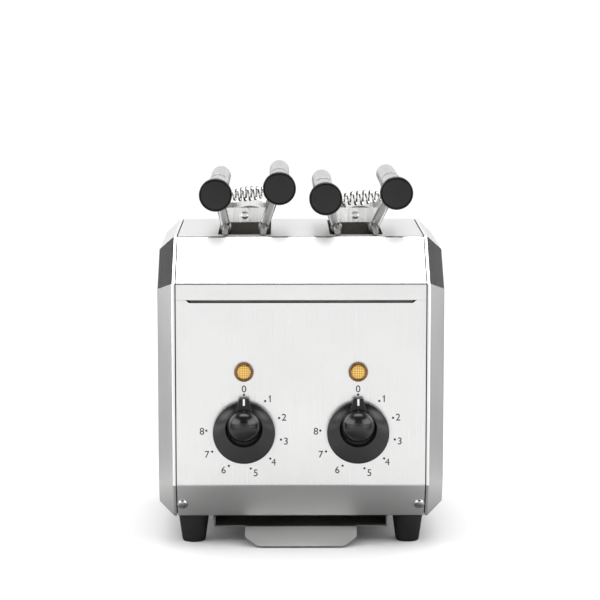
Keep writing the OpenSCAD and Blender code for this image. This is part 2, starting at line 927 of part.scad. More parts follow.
module handle_cap(centre) {
    color("#151515") translate([centre[0], -tube_front, centre[1]]) rotate([90, 0, 0])
        rotate_extrude() polygon([
            [0, -plug_l],
            [tube_d / 2 - tube_t - fit, -plug_l],
            [tube_d / 2 - tube_t - fit, 0],
            [cap_d / 2, 0],
            [cap_d / 2, cap_t - cap_edge],
            [cap_d / 2 - cap_edge, cap_t],
            [0, cap_t]
        ]);
}

// The bar that a jaw hangs from, which rests on the rims of the slot
module rest_rail(side) {
    rail_half = slot_l / 2 + rail_lap;
    color("silver") bar_y(side * rail_x, -rail_half, rail_half, -rail_down, rail_d);
}

// A grid of wires welded under the rest rail, which leans in towards the other jaw
module jaw(side) {
    pitch = jaw_w / (jaw_wires - 1);
    color("silver") difference() {
        translate([side * rail_x, 0, -rail_down]) rotate([0, side * jaw_tilt, 0]) {
            for (i = [0:jaw_wires - 1]) {
                rod = i == 0 || i == jaw_wires - 1 ? jaw_rod : jaw_wire;
                translate([0, i * pitch - jaw_w / 2, -jaw_drop]) cylinder(h = jaw_drop, d = rod);
            }
            for (z = jaw_cross) bar_y(0, -jaw_w / 2, jaw_w / 2, -z, jaw_wire - cross_step);
            bar_y(0, -jaw_w / 2 - jaw_rod, jaw_w / 2 + jaw_rod, -jaw_drop, jaw_rod + cross_step);
        }
        rest_rail(side);
    }
}

// One unbroken tube swept along the spring's centre line
module spring(rise) {
    path = spring_path(spring_l(rise));
    rings = len(path);
    n = wire_sides;
    last = (rings - 1) * n;
    points = [for (i = [0:rings - 1]) each wire_ring(path, i)];
    walls = [for (i = [0:rings - 2], k = [0:n - 1], half = [0, 1])
        let (a = i * n + k, b = i * n + (k + 1) % n)
        half == 0 ? [a, a + n, b] : [b, a + n, b + n]];
    ends = [for (k = [1:n - 2], end = [0, 1])
        end == 0 ? [0, k, k + 1] : [last, last + k + 1, last + k]];
    dir = spring_dir(rise);
    start = near_at(rise) + spring_side(rise) * spring_low + dir * (seat_face() + spring_gap);
    color("silver") translate([start[0], -spring_y, start[1]])
        rotate([0, -atan2(dir[1], dir[0]), 0]) polyhedron(points, concat(walls, ends));
}

module left_tong_pin() { at_tong(-slot_x) tong_pin(); }
module left_tong_spring() { at_tong(-slot_x) spring(left_rise); }
module left_tong_near_handle() { at_tong(-slot_x) near_handle(left_rise); }
module left_tong_near_cap() { at_tong(-slot_x) handle_cap(near_at(left_rise)); }
module left_tong_near_arms() { at_tong(-slot_x) near_arms(left_rise); }
module left_tong_near_rail() { at_tong(-slot_x) rest_rail(-1); }
module left_tong_near_jaw() { at_tong(-slot_x) jaw(-1); }
module left_tong_far_handle() { at_tong(-slot_x) far_handle(left_rise); }
module left_tong_far_cap() { at_tong(-slot_x) handle_cap(far_at(left_rise)); }
module left_tong_far_arms() { at_tong(-slot_x) far_arms(left_rise); }
module left_tong_far_rail() { at_tong(-slot_x) rest_rail(1); }
module left_tong_far_jaw() { at_tong(-slot_x) jaw(1); }

module right_tong_pin() { at_tong(slot_x) tong_pin(); }
module right_tong_spring() { at_tong(slot_x) spring(right_rise); }
module right_tong_near_handle() { at_tong(slot_x) near_handle(right_rise); }
module right_tong_near_cap() { at_tong(slot_x) handle_cap(near_at(right_rise)); }
module right_tong_near_arms() { at_tong(slot_x) near_arms(right_rise); }
module right_tong_near_rail() { at_tong(slot_x) rest_rail(-1); }
module right_tong_near_jaw() { at_tong(slot_x) jaw(-1); }
module right_tong_far_handle() { at_tong(slot_x) far_handle(right_rise); }
module right_tong_far_cap() { at_tong(slot_x) handle_cap(far_at(right_rise)); }
module right_tong_far_arms() { at_tong(slot_x) far_arms(right_rise); }
module right_tong_far_rail() { at_tong(slot_x) rest_rail(1); }
module right_tong_far_jaw() { at_tong(slot_x) jaw(1); }

top_cover();
front_panel();
rear_panel();
left_side_panel();
right_side_panel();
base_plate();
rubber_feet();
foot_screws();
case_screws();
crumb_tray();
tray_rails();
front_reflector();
rear_reflector();
side_reflectors();
divider();
left_outer_heater();
left_inner_heater();
right_inner_heater();
right_outer_heater();
heater_bushes();
left_guards();
right_guards();
left_timer();
right_timer();
left_timer_shaft();
right_timer_shaft();
left_knob();
right_knob();
left_lamp_lens();
right_lamp_lens();
lamp_holders();
terminal_block();
cord_gland();
left_tong_pin();
left_tong_spring();
left_tong_near_handle();
left_tong_near_cap();
left_tong_near_arms();
left_tong_near_rail();
left_tong_near_jaw();
left_tong_far_handle();
left_tong_far_cap();
left_tong_far_arms();
left_tong_far_rail();
left_tong_far_jaw();
right_tong_pin();
right_tong_spring();
right_tong_near_handle();
right_tong_near_cap();
right_tong_near_arms();
right_tong_near_rail();
right_tong_near_jaw();
right_tong_far_handle();
right_tong_far_cap();
right_tong_far_arms();
right_tong_far_rail();
right_tong_far_jaw();
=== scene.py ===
# %% [markdown]
# # A two-slot sandwich toaster, dressed in Blender
#
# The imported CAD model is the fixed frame: every node already sits where it belongs, in metres, with +Z up
# and the controls facing -Y. This lesson dresses that frame. Sheet parts get bend radii, turned parts get
# round edges, and every surface gets a material made of nodes. Nothing here changes the size of the object.

# %% Load the frame
from math import atan2, cos, pi, radians, sin, sqrt

import bmesh
import bpy
from mathutils import Matrix, Vector


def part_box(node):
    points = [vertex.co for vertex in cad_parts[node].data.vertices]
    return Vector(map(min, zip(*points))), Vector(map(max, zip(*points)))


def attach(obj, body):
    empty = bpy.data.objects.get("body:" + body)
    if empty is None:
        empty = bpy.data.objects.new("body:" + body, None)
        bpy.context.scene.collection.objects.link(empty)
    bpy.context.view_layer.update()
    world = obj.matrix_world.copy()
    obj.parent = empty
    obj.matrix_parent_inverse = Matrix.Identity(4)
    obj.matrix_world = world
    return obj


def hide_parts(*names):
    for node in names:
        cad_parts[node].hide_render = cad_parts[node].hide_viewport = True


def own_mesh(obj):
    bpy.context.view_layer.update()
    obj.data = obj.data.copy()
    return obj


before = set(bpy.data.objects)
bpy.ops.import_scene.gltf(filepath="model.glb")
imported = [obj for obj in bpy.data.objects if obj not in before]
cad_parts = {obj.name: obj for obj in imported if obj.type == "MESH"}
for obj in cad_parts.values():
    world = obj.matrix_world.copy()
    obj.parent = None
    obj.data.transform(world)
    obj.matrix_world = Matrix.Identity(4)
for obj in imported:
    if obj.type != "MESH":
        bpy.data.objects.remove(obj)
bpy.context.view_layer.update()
scene = bpy.context.scene
MM = 0.001
SIDES = ((-1, "left"), (1, "right"))

# %% [markdown]
# ## Camera and studio
#
# A catalogue picture like this is taken from far away with a long lens, a little above the appliance, so
# the front looks almost flat. A long lens far back gives that without any lens shift.

# %% Camera
camera_place = (-0.0171, -2.0295, 0.4485)
tilt_down, turn_right = 7.383, 0.488
lens = bpy.data.cameras.new("catalogue_lens")
lens.sensor_fit = "HORIZONTAL"
lens.sensor_width = 36
lens.lens = 146.3
lens.clip_end = 100
camera = bpy.data.objects.new("catalogue_camera", lens)
camera.location = camera_place
camera.rotation_euler = (radians(90 - tilt_down), 0, radians(-turn_right))
scene.collection.objects.link(camera)
scene.camera = camera
print("camera at", tuple(camera.location), "lens", lens.lens)

# %% [markdown]
# The steel shows what surrounds it, so the studio decides how it looks. The world holds what a photographer
# would set up: a bright box overhead that leans to the rear, two soft boxes beside the front with a dark
# gap between them, a white backdrop up to a low height that is dimmer at the sides, and darkness above
# that. Only mirrored light meets this. The camera sees plain white, and the light that falls on dull
# surfaces is white all round. Each part of the studio is a range of directions, and the brightest part
# wins.

# %% Node helpers
def link_row(tree, *steps):
    """Joins (node, output) to (node, input) pairs, one after the other."""
    for (giver, out), (taker, into) in steps:
        tree.links.new(giver.outputs[out], taker.inputs[into])


def feed(tree, socket, source):
    """Gives a socket a number, or links it to another node's output."""
    if isinstance(source, bpy.types.NodeSocket):
        tree.links.new(source, socket)
    else:
        socket.default_value = source


def ramp_of(tree, source, start, stop, low, high):
    """Spreads start to stop over low to high, and returns the result."""
    spread = tree.nodes.new("ShaderNodeMapRange")
    feed(tree, spread.inputs["Value"], source)
    for socket, value in (("From Min", start), ("From Max", stop), ("To Min", low), ("To Max", high)):
        feed(tree, spread.inputs[socket], value)
    return spread.outputs["Result"]


def math_of(tree, operation, first, *others):
    """Joins values by one operation, two at a time, and returns the result."""
    result = first
    for other in others or (0.0,):
        step = tree.nodes.new("ShaderNodeMath")
        step.operation = operation
        feed(tree, step.inputs[0], result)
        feed(tree, step.inputs[1], other)
        result = step.outputs[0]
    return result


def if_mirrored(tree, plain, mirrored):
    """One value for what the camera sees and what lights the scene, another for reflections."""
    ray = tree.nodes.new("ShaderNodeLightPath")
    choice = tree.nodes.new("ShaderNodeMix")
    feed(tree, choice.inputs["Factor"], ray.outputs["Is Glossy Ray"])
    feed(tree, choice.inputs["A"], plain)
    feed(tree, choice.inputs["B"], mirrored)
    return choice.outputs["Result"]


# %% World
world = bpy.data.worlds.new("white_studio")
world.use_nodes = True
scene.world = world
sky = world.node_tree
sky.nodes.clear()
where = sky.nodes.new("ShaderNodeTexCoord")
axes = sky.nodes.new("ShaderNodeSeparateXYZ")
link_row(sky, ((where, "Generated"), (axes, "Vector")))
sideways = math_of(sky, "ABSOLUTE", axes.outputs["X"])
backward, upward = axes.outputs["Y"], axes.outputs["Z"]
plain_glow, backdrop_glow, overhead_glow, box_glow = 1.1, 1.2, 3.7, 3.6

low_height = ramp_of(sky, upward, 0.26, 0.44, backdrop_glow, 0.04)
dim_ends = ramp_of(sky, sideways, 0.45, 0.70, 1.0, 0.16)
behind = ramp_of(sky, backward, -0.3, 0.1, 0.0, 1.0)
front_gap = math_of(sky, "MAXIMUM", behind, ramp_of(sky, sideways, 0.10, 0.32, 0.50, 1.0))
backdrop = math_of(sky, "MULTIPLY", low_height, dim_ends, front_gap)

rise, lean_back = math_of(sky, "MULTIPLY", upward, 0.97), math_of(sky, "MULTIPLY", backward, 0.24)
overhead = ramp_of(sky, math_of(sky, "ADD", rise, lean_back), 0.88, 0.96, 0.0, overhead_glow)

off_front = math_of(sky, "ADD", sideways, math_of(sky, "MULTIPLY", backward, 0.55))
front_boxes = math_of(
    sky, "MULTIPLY",
    ramp_of(sky, off_front, 0.0, 0.15, 0.0, box_glow), ramp_of(sky, backward, 0.05, 0.30, 1.0, 0.0),
    ramp_of(sky, upward, 0.06, 0.20, 0.0, 1.0), ramp_of(sky, upward, 0.55, 0.75, 1.0, 0.0),
)

studio = math_of(sky, "MAXIMUM", backdrop, overhead, front_boxes)
glow = sky.nodes.new("ShaderNodeBackground")
glow.inputs["Color"].default_value = (1.0, 1.0, 1.0, 1)
feed(sky, glow.inputs["Strength"], if_mirrored(sky, plain_glow, studio))
out = sky.nodes.new("ShaderNodeOutputWorld")
link_row(sky, ((glow, 0), (out, 0)))
print("world", world.name, "nodes", len(sky.nodes))

# %% [markdown]
# One real lamp hangs overhead and gives the soft shadow under the part. Two weak ones beside it only
# lighten the floor, so reflections leave them out.

# %% Soft boxes
def soft_box(name, place, aim_at, size, power):
    light = bpy.data.lights.new(name, "AREA")
    light.shape = "RECTANGLE"
    light.size, light.size_y = size
    light.energy = power
    box = bpy.data.objects.new(name, light)
    box.location = place
    box.rotation_euler = (Vector(aim_at) - Vector(place)).to_track_quat("-Z", "Y").to_euler()
    scene.collection.objects.link(box)
    return box


soft_box("overhead_box", (0, 0.1, 1.7), (0, 0, 0.1), (1.6, 1.2), 9)
for side, name in SIDES:
    fill_box = soft_box(f"{name}_fill_box", (side * 1.1, -0.2, 0.5), (side * 0.2, 0, 0), (0.7, 0.7), 1.8)
    fill_box.visible_glossy = False
scene.view_settings.view_transform = "Standard"
print("soft boxes:", [light.name for light in bpy.data.lights if light.type == "AREA"])

# %% [markdown]
# The floor is one large pale plane that fills the whole picture, because the horizon lies above the frame.
# In reflections it is painted with shade and light: a dark oval of painted shade under the part, dimmer at
# the sides and lighter far in front, with two patches of painted light that glow left and right of the front.
# The lower slope, the bevels and the knobs show them.

# %% Mesh objects
def new_object(name, bm, materials, sharp=35):
    """A mesh object at the origin, smooth but for edges sharper than the angle."""
    mesh = bpy.data.meshes.new(name)
    bm.to_mesh(mesh)
    bm.free()
    for material in materials:
        mesh.materials.append(material)
    mesh.polygons.foreach_set("use_smooth", [True] * len(mesh.polygons))
    mesh.set_sharp_from_angle(angle=radians(sharp))
    made = bpy.data.objects.new(name, mesh)
    scene.collection.objects.link(made)
    return made


# %% Floor
floor_paint = bpy.data.materials.new("pale_floor")
floor_paint.use_nodes = True
tree = floor_paint.node_tree
paint = tree.nodes["Principled BSDF"]
coords = tree.nodes.new("ShaderNodeTexCoord")
oval = tree.nodes.new("ShaderNodeVectorMath")
oval.operation = "MULTIPLY"
oval.inputs[1].default_value = (1.35, 1, 1)
distance = tree.nodes.new("ShaderNodeVectorMath")
distance.operation = "LENGTH"
axes = tree.nodes.new("ShaderNodeSeparateXYZ")
link_row(
    tree,
    ((coords, "Object"), (oval, 0)),
    ((oval, "Vector"), (distance, 0)),
    ((coords, "Object"), (axes, "Vector")),
)
aside, depth = math_of(tree, "ABSOLUTE", axes.outputs["X"]), axes.outputs["Y"]

# painted shade: in reflections the floor is darkened in an oval under the part
painted_shade_under_part = ramp_of(tree, distance.outputs["Value"], 0.17, 0.32, 0.20, 0.82)
dim_sides = ramp_of(tree, aside, 0.16, 0.45, 1.0, 0.32)
in_front = ramp_of(tree, depth, -0.8, -0.4, 0.84, 0.0)
far_off = ramp_of(tree, depth, -1.6, -0.7, 1.3, 1.0)
mirrored_shade = math_of(tree, "MULTIPLY", painted_shade_under_part, math_of(tree, "MAXIMUM", dim_sides, in_front), far_off)
feed(tree, paint.inputs["Base Color"], if_mirrored(tree, 0.93, mirrored_shade))

off_front = math_of(tree, "ADD", aside, math_of(tree, "MULTIPLY", depth, 0.5))
near_edge = ramp_of(tree, depth, -0.5, -0.3, 1.0, 0.0)
# painted light: two patches of the floor that glow only in reflections
painted_glow_patches = math_of(tree, "MULTIPLY", ramp_of(tree, off_front, 0.0, 0.15, 0.0, 1.5), near_edge)
paint.inputs["Emission Color"].default_value = (1, 1, 1, 1)
feed(tree, paint.inputs["Emission Strength"], if_mirrored(tree, 0.0, painted_glow_patches))
paint.inputs["Roughness"].default_value = 0.9
paint.inputs["Specular IOR Level"].default_value = 0.1

bm = bmesh.new()
just_below = Matrix.Translation((0, 0, -0.1 * MM))
bmesh.ops.create_grid(bm, x_segments=1, y_segments=1, size=40, matrix=just_below)
floor = new_object("pale_floor", bm, [floor_paint])
print("floor", tuple(floor.dimensions))

# %% [markdown]
# ## Finishes
#
# Each finish starts from the Principled shader. A helper adds a texture on Object coordinates, because
# those are in metres in the shared frame: a grain of 0.2 mm is the same on every piece. Brushed steel is
# noise squeezed in two directions and stretched in the third, so it turns into fine lines.

# %% Finish helpers
def finish(name, color, metallic, roughness, **sockets):
    """A material with its Principled shader, with uniform values set on the shader's own sockets."""
    material = bpy.data.materials.new(name)
    material.use_nodes = True
    shader = material.node_tree.nodes["Principled BSDF"]
    shader.inputs["Base Color"].default_value = (*color, 1)
    shader.inputs["Metallic"].default_value = metallic
    shader.inputs["Roughness"].default_value = roughness
    for socket, value in sockets.items():
        shader.inputs[socket.replace("_", " ")].default_value = value
    return material, material.node_tree, shader


def grain(tree, stretch, detail=3.0, rough=0.6):
    """Noise on Object coordinates; stretch is how many grains go into a metre along each axis."""
    coords = tree.nodes.new("ShaderNodeTexCoord")
    mapping = tree.nodes.new("ShaderNodeMapping")
    mapping.inputs["Scale"].default_value = stretch
    noise = tree.nodes.new("ShaderNodeTexNoise")
    noise.inputs["Scale"].default_value = 1.0
    noise.inputs["Detail"].default_value = detail
    noise.inputs["Roughness"].default_value = rough
    link_row(tree, ((coords, "Object"), (mapping, "Vector")), ((mapping, "Vector"), (noise, "Vector")))
    return noise


def to_roughness(tree, source, low, high, shader):
    """Spreads the middle of a texture's range over two roughnesses."""
    feed(tree, shader.inputs["Roughness"], ramp_of(tree, source.outputs[0], 0.35, 0.65, low, high))


def to_color(tree, source, dark, light, shader, start=0.3, stop=0.7):
    """Turns a texture's value into a colour between two."""
    ramp = tree.nodes.new("ShaderNodeValToRGB")
    for element, position, color in zip(ramp.color_ramp.elements, (start, stop), (dark, light)):
        element.position = position
        element.color = (*color, 1)
    link_row(tree, ((source, 0), (ramp, "Fac")), ((ramp, "Color"), (shader, "Base Color")))


def to_bump(tree, source, shader, height, strength=1.0):
    """Lets a texture raise the surface by a height in metres."""
    bump = tree.nodes.new("ShaderNodeBump")
    bump.inputs["Distance"].default_value = height
    bump.inputs["Strength"].default_value = strength
    link_row(tree, ((source, 0), (bump, "Height")), ((bump, "Normal"), (shader, "Normal")))


# %% [markdown]
# The casing is brushed stainless sheet. The brush runs up and down on the front, the rear and the sides,
# along the width on the slopes and the top plate, and along the depth on the upper and lower bevels. The
# sheet isn't equally smooth everywhere: the press burnishes the bends, the slopes are duller than the flat
# faces, and the side lids are finer. So one function makes all these finishes, which differ in the axis
# that is stretched and in their roughness; the upright faces are also painted a little darker, as painted
# shade. The tray tab is duller and a little darker. The inner sheets are duller, and heat has tinted them a
# little brown. The tray body and the fold behind the vent slit get a much darker heat-tinted sheet: its
# darkness is painted shade for where they lie under and behind the casing.

# %% Sheet steel
BRUSHED_UP, BRUSHED_ACROSS, BRUSHED_BACK = (1600, 1600, 14), (14, 1600, 1600), (1600, 14, 1600)
pale = (0.84, 0.84, 0.835)


def brushed(name, color, stretch, low, high, ridge=0.3):
    material, tree, shader = finish(name, color, 1.0, low)
    lines = grain(tree, stretch)
    to_roughness(tree, lines, low, high, shader)
    to_bump(tree, lines, shader, 0.000003, ridge)
    cloud = grain(tree, (16, 16, 16), detail=2.0)
    to_color(tree, cloud, [c * 0.96 for c in color], color, shader)
    return material


# the upright faces are painted a little darker than the rest of the sheet: painted shade
upright_steel = brushed("upright_brushed_steel", (0.81, 0.81, 0.805), BRUSHED_UP, 0.27, 0.34)
level_steel = brushed("level_brushed_steel", pale, BRUSHED_ACROSS, 0.27, 0.34)
slope_steel = brushed("slope_brushed_steel", pale, BRUSHED_ACROSS, 0.46, 0.52)
roof_steel = brushed("upper_slope_steel", pale, BRUSHED_ACROSS, 0.58, 0.64)
bend_steel = brushed("burnished_bend_steel", pale, BRUSHED_ACROSS, 0.16, 0.20, ridge=0.1)
rim_steel = brushed("bevel_brushed_steel", pale, BRUSHED_BACK, 0.24, 0.27, ridge=0.1)
side_steel = brushed("side_brushed_steel", pale, BRUSHED_UP, 0.24, 0.27, ridge=0.1)
tray_steel = brushed("tray_tab_steel", (0.70, 0.70, 0.695), (14, 1400, 1400), 0.46, 0.56)
print("sheet finishes:", upright_steel.name, level_steel.name, side_steel.name, tray_steel.name)


# %% Heated sheet
def heat_dulled(name, color, tint):
    material, tree, shader = finish(name, color, 1.0, 0.42)
    cloud = grain(tree, (22, 22, 13), detail=5.0, rough=0.65)
    to_color(tree, cloud, tint, color, shader)
    lines = grain(tree, (900, 900, 30))
    to_roughness(tree, lines, 0.34, 0.52, shader)
    to_bump(tree, lines, shader, 0.00001, 0.4)
    return material


inner_sheet = heat_dulled("inner_reflector_sheet", (0.60, 0.59, 0.57), (0.44, 0.41, 0.36))
# its darkness is painted shade for the tray body and the slit fold; the brown cloud in it is heat tint
heat_tint_and_shade_sheet = heat_dulled("heat_tint_and_shade_sheet_finish", (0.30, 0.295, 0.29), (0.17, 0.16, 0.145))
base_sheet = heat_dulled("base_sheet", (0.42, 0.42, 0.41), (0.30, 0.29, 0.27))
print("heated finishes:", inner_sheet.name, heat_tint_and_shade_sheet.name, base_sheet.name)

# %% [markdown]
# Tubes, wires and screws are drawn steel: smoother than the sheet, with fine lines along the wire. The legs
# of the tongs are painted darker than their plates, as painted shade, and the wires that hang in the chamber
# are painted dark grey, as painted shade inside the slots. The heating tubes are steel too, but have been red
# hot, so their skin is dark and rough.

# %% Wires, tubes and heaters
def drawn(name, color, stretch, low, high):
    material, tree, shader = finish(name, color, 1.0, low)
    lines = grain(tree, stretch)
    to_roughness(tree, lines, low, high, shader)
    smudge = grain(tree, (60, 60, 60), detail=4.0)
    to_color(tree, smudge, [c * 0.86 for c in color], color, shader)
    to_bump(tree, lines, shader, 0.000002, 0.4)
    return material


handle_steel = drawn("polished_handle_tube", (0.47, 0.47, 0.465), (900, 20, 900), 0.26, 0.30)
plate_steel = drawn("polished_tong_plate", (0.84, 0.84, 0.83), (500, 500, 40), 0.22, 0.34)
# the legs' bead is painted darker than the plate: painted shade
shaded_leg_steel = drawn("shaded_tong_leg_steel", (0.36, 0.36, 0.355), (500, 500, 40), 0.18, 0.28)
wire_steel = drawn("bright_wire", (0.60, 0.60, 0.58), (500, 120, 120), 0.16, 0.3)
# painted shade: the wires hanging in the slots are darkened
slot_shade_wire = drawn("slot_shade_wire", (0.30, 0.295, 0.285), (120, 500, 120), 0.22, 0.36)
spring_steel = drawn("spring_wire", (0.55, 0.55, 0.54), (700, 700, 700), 0.15, 0.28)
screw_steel = drawn("plated_screw", (0.58, 0.58, 0.57), (700, 700, 700), 0.20, 0.32)

heater_skin, tree, shader = finish("oxidised_heating_tube", (0.12, 0.11, 0.10), 0.7, 0.55)
scale_spots = grain(tree, (260, 60, 260), detail=6.0, rough=0.7)
to_color(tree, scale_spots, (0.07, 0.06, 0.055), (0.19, 0.16, 0.13), shader)
to_roughness(tree, scale_spots, 0.45, 0.7, shader)
to_bump(tree, scale_spots, shader, 0.00003)
print("metal finishes:", handle_steel.name, wire_steel.name, heater_skin.name)

# %% [markdown]
# Knobs and handle caps are black moulded plastic with a polished skin: a very fine ripple breaks its
# reflections. Feet are rubber, which is matt and a little dusty. Timers, bushes and the terminal block are
# pale and porous. These materials have no colour of their own, so a grey level is enough for most of them.

# %% Plastics, rubber and ceramic
def moulded(name, dark, light, low, high, grains, height, **sockets):
    material, tree, shader = finish(name, light, 0.0, low, **sockets)
    texture = grain(tree, (grains, grains, grains), detail=4.0)
    to_roughness(tree, texture, low, high, shader)
    to_bump(tree, texture, shader, height, 0.6)
    cloud = grain(tree, (45, 45, 45), detail=3.0)
    to_color(tree, cloud, dark, light, shader)
    return material


def grey(level):
    return (level, level, level)


knob_black = moulded("polished_black_knob", grey(0.006), grey(0.011), 0.18, 0.23, 500, 0.0000012)
cap_black = moulded(
    "black_handle_cap", grey(0.006), grey(0.010), 0.3, 0.42, 1200, 0.000006, Specular_IOR_Level=0.36,
)
foot_rubber = moulded(
    "black_foot_rubber", grey(0.007), grey(0.014), 0.55, 0.75, 1600, 0.00004, Specular_IOR_Level=0.3,
)
# this black finish is also the painted shade on the side lids' seam lip
gland_plastic_and_seam_shade = moulded("dark_gland_plastic_and_seam_shade", (0.015, 0.015, 0.016), grey(0.03), 0.4, 0.55, 1200, 0.00003)
pale_ceramic = moulded("pale_ceramic", (0.62, 0.59, 0.52), (0.76, 0.74, 0.68), 0.5, 0.7, 1500, 0.00003)
print_ink = moulded("dial_ink", grey(0.008), grey(0.014), 0.5, 0.6, 2000, 0.000004)
line_white = moulded("pointer_white", (0.78, 0.78, 0.77), (0.86, 0.86, 0.85), 0.4, 0.5, 2000, 0.000004)
print("moulded finishes:", knob_black.name, cap_black.name, foot_rubber.name)

# %% [markdown]
# The pilot lamps are clear amber plastic. Under the smooth front lies a grid of tiny prisms that spreads
# the light of the small bulb. Two wave textures, one across and one up, make that grid: their product is
# high on the prisms and low in the grooves. The ring round it is the same plastic seen thick, so it is
# browner.

# %% Amber lamp
prism_pitch = 1.4 * MM


def prism_waves(tree, axis):
    coords = tree.nodes.new("ShaderNodeTexCoord")
    waves = tree.nodes.new("ShaderNodeTexWave")
    waves.wave_type = "BANDS"
    waves.bands_direction = axis
    waves.inputs["Scale"].default_value = 2 * pi / (20 * prism_pitch)
    waves.inputs["Distortion"].default_value = 0.0
    link_row(tree, ((coords, "Object"), (waves, "Vector")))
    return waves


lamp_amber, tree, shader = finish("amber_prism_lens", (0.85, 0.48, 0.08), 0.0, 0.12, Coat_Weight=0.4)
prisms = tree.nodes.new("ShaderNodeMath")
prisms.operation = "MULTIPLY"
link_row(
    tree, ((prism_waves(tree, "X"), "Fac"), (prisms, 0)), ((prism_waves(tree, "Z"), "Fac"), (prisms, 1)),
)
to_color(tree, prisms, (0.42, 0.15, 0.01), (1.0, 0.74, 0.17), shader, 0.0, 0.4)
to_bump(tree, prisms, shader, 0.0002, 0.7)
ring_amber, tree, shader = finish("thick_amber_ring", (0.10, 0.04, 0.01), 0.0, 0.12)
swirl = grain(tree, (160, 160, 160))
to_color(tree, swirl, (0.09, 0.036, 0.008), (0.20, 0.09, 0.022), shader)
to_roughness(tree, swirl, 0.12, 0.24, shader)
print("lamp finishes:", lamp_amber.name, ring_amber.name)

# %% [markdown]
# ## Helpers for the pieces
#
# Most pieces are one of three things: a sheet that is cut out flat and folded, a profile that is turned, or
# a copy of a CAD node whose edges are eased. One small helper does each step, with bmesh operators.

# %% Places and picks
FRONTWARD = Matrix.Rotation(radians(90), 4, "X")  # local +Z turns to -Y, the way the controls face
REARWARD = Matrix.Rotation(radians(-90), 4, "X")


def at(point):
    """A move to a point in millimetres."""
    return Matrix.Translation(Vector(point) * MM)


def near(a, b):
    return abs(a - b) < 0.01


def edges_of(verts):
    return list(dict.fromkeys(e for v in verts for e in v.link_edges))


def edges_where(bm, test):
    """The edges whose two ends both pass a test on their place in millimetres."""
    return [e for e in bm.edges if all(test(v.co / MM) for v in e.verts)]


def crease_edges(bm, angle=30):
    """The edges where two faces meet at more than an angle."""
    return [e for e in bm.edges if e.is_manifold and e.calc_face_angle(0) > radians(angle)]


def new_verts(made):
    """The vertices among what an extrude made."""
    return [g for g in made["geom"] if isinstance(g, bmesh.types.BMVert)]


# %% Rounding and facing
def round_edges(bm, edges, radius, segments=4):
    bmesh.ops.bevel(
        bm, geom=edges, offset=radius * MM, offset_type="OFFSET", segments=segments, profile=0.5,
        affect="EDGES", clamp_overlap=True, material=-1,
    )


def round_corners(bm, verts, radius, segments):
    """Cuts the corners of a flat sheet: one segment gives a straight cut, more give a round one."""
    bmesh.ops.bevel(
        bm, geom=verts, offset=radius * MM, offset_type="OFFSET", segments=segments, profile=0.5,
        affect="VERTICES", material=-1,
    )


def face_out(bm):
    bmesh.ops.recalc_face_normals(bm, faces=bm.faces)


def face_toward(bm, direction):
    """Makes the faces of an open sheet agree, with the largest one looking along a direction."""
    face_out(bm)
    if max(bm.faces, key=lambda f: f.calc_area()).normal.dot(Vector(direction)) < 0:
        bmesh.ops.reverse_faces(bm, faces=bm.faces)


# %% Sheets
def outline(bm, corners):
    """A closed line of edges through the corners, given in millimetres."""
    points = [bm.verts.new(Vector(c) * MM) for c in corners]
    return [bm.edges.new(pair) for pair in zip(points, points[1:] + points[:1])]


def round_hole(bm, centre, radius, turn):
    """A circle of edges, to be left open by the fill."""
    place = at(centre) @ turn
    ring = bmesh.ops.create_circle(bm, cap_ends=False, radius=radius * MM, segments=48, matrix=place)
    return edges_of(ring["verts"])


def long_hole(bm, centre, width, length, radius, turn):
    """A rectangle of edges with round corners, to be left open by the fill."""
    grid = bmesh.ops.create_grid(bm, x_segments=1, y_segments=1, size=0.5, matrix=Matrix.Identity(4))
    bmesh.ops.scale(bm, vec=(width * MM, length * MM, 1), verts=grid["verts"])
    round_corners(bm, grid["verts"], radius, 6)
    hole = next(iter(bm.faces))
    rim_verts, rim_edges = list(hole.verts), list(hole.edges)
    bmesh.ops.delete(bm, geom=[hole], context="FACES_ONLY")
    bmesh.ops.transform(bm, matrix=at(centre) @ turn, verts=rim_verts)
    return rim_edges


def fill(bm, edges, facing):
    """Fills the area between an outline and its holes."""
    bmesh.ops.triangle_fill(bm, use_beauty=True, use_dissolve=True, edges=edges, normal=facing)


def fold(bm, edges, step):
    """Draws the edges out by a step in millimetres, and returns the new edges."""
    drawn_out = bmesh.ops.extrude_edge_only(bm, edges=edges)
    moved = new_verts(drawn_out)
    bmesh.ops.translate(bm, vec=Vector(step) * MM, verts=moved)
    edges = [g for g in drawn_out["geom"] if isinstance(g, bmesh.types.BMEdge)]
    return [e for e in edges if all(v in moved for v in e.verts)]


def raise_faces(bm, faces, step):
    """Extrudes faces by a step in millimetres, and returns what is new."""
    raised = bmesh.ops.extrude_face_region(bm, geom=faces)
    bmesh.ops.translate(bm, vec=Vector(step) * MM, verts=new_verts(raised))
    return raised


# %% Turned parts and copies
def turned(profile, segments=64):
    """A closed turned shape about Z from (radius, height) points in millimetres."""
    bm = bmesh.new()
    points = [bm.verts.new((r * MM, 0, h * MM)) for r, h in profile]
    lines = [bm.edges.new(pair) for pair in zip(points, points[1:])]
    bmesh.ops.spin(
        bm, geom=points + lines, cent=(0, 0, 0), axis=(0, 0, 1), dvec=(0, 0, 0), angle=2 * pi,
        steps=segments, use_merge=True, use_normal_flip=False, use_duplicate=False,
    )
    bmesh.ops.remove_doubles(bm, verts=bm.verts, dist=1e-7)
    face_out(bm)
    return bm


def from_cad(node):
    """A clean copy of a CAD node's mesh: loose triangles merged, and flat areas made one face."""
    bm = bmesh.new()
    bm.from_mesh(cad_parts[node].data)
    bmesh.ops.remove_doubles(bm, verts=bm.verts, dist=2e-6)
    bmesh.ops.dissolve_limit(
        bm, angle_limit=radians(0.4), use_dissolve_boundaries=False, verts=bm.verts, edges=bm.edges,
    )
    return bm


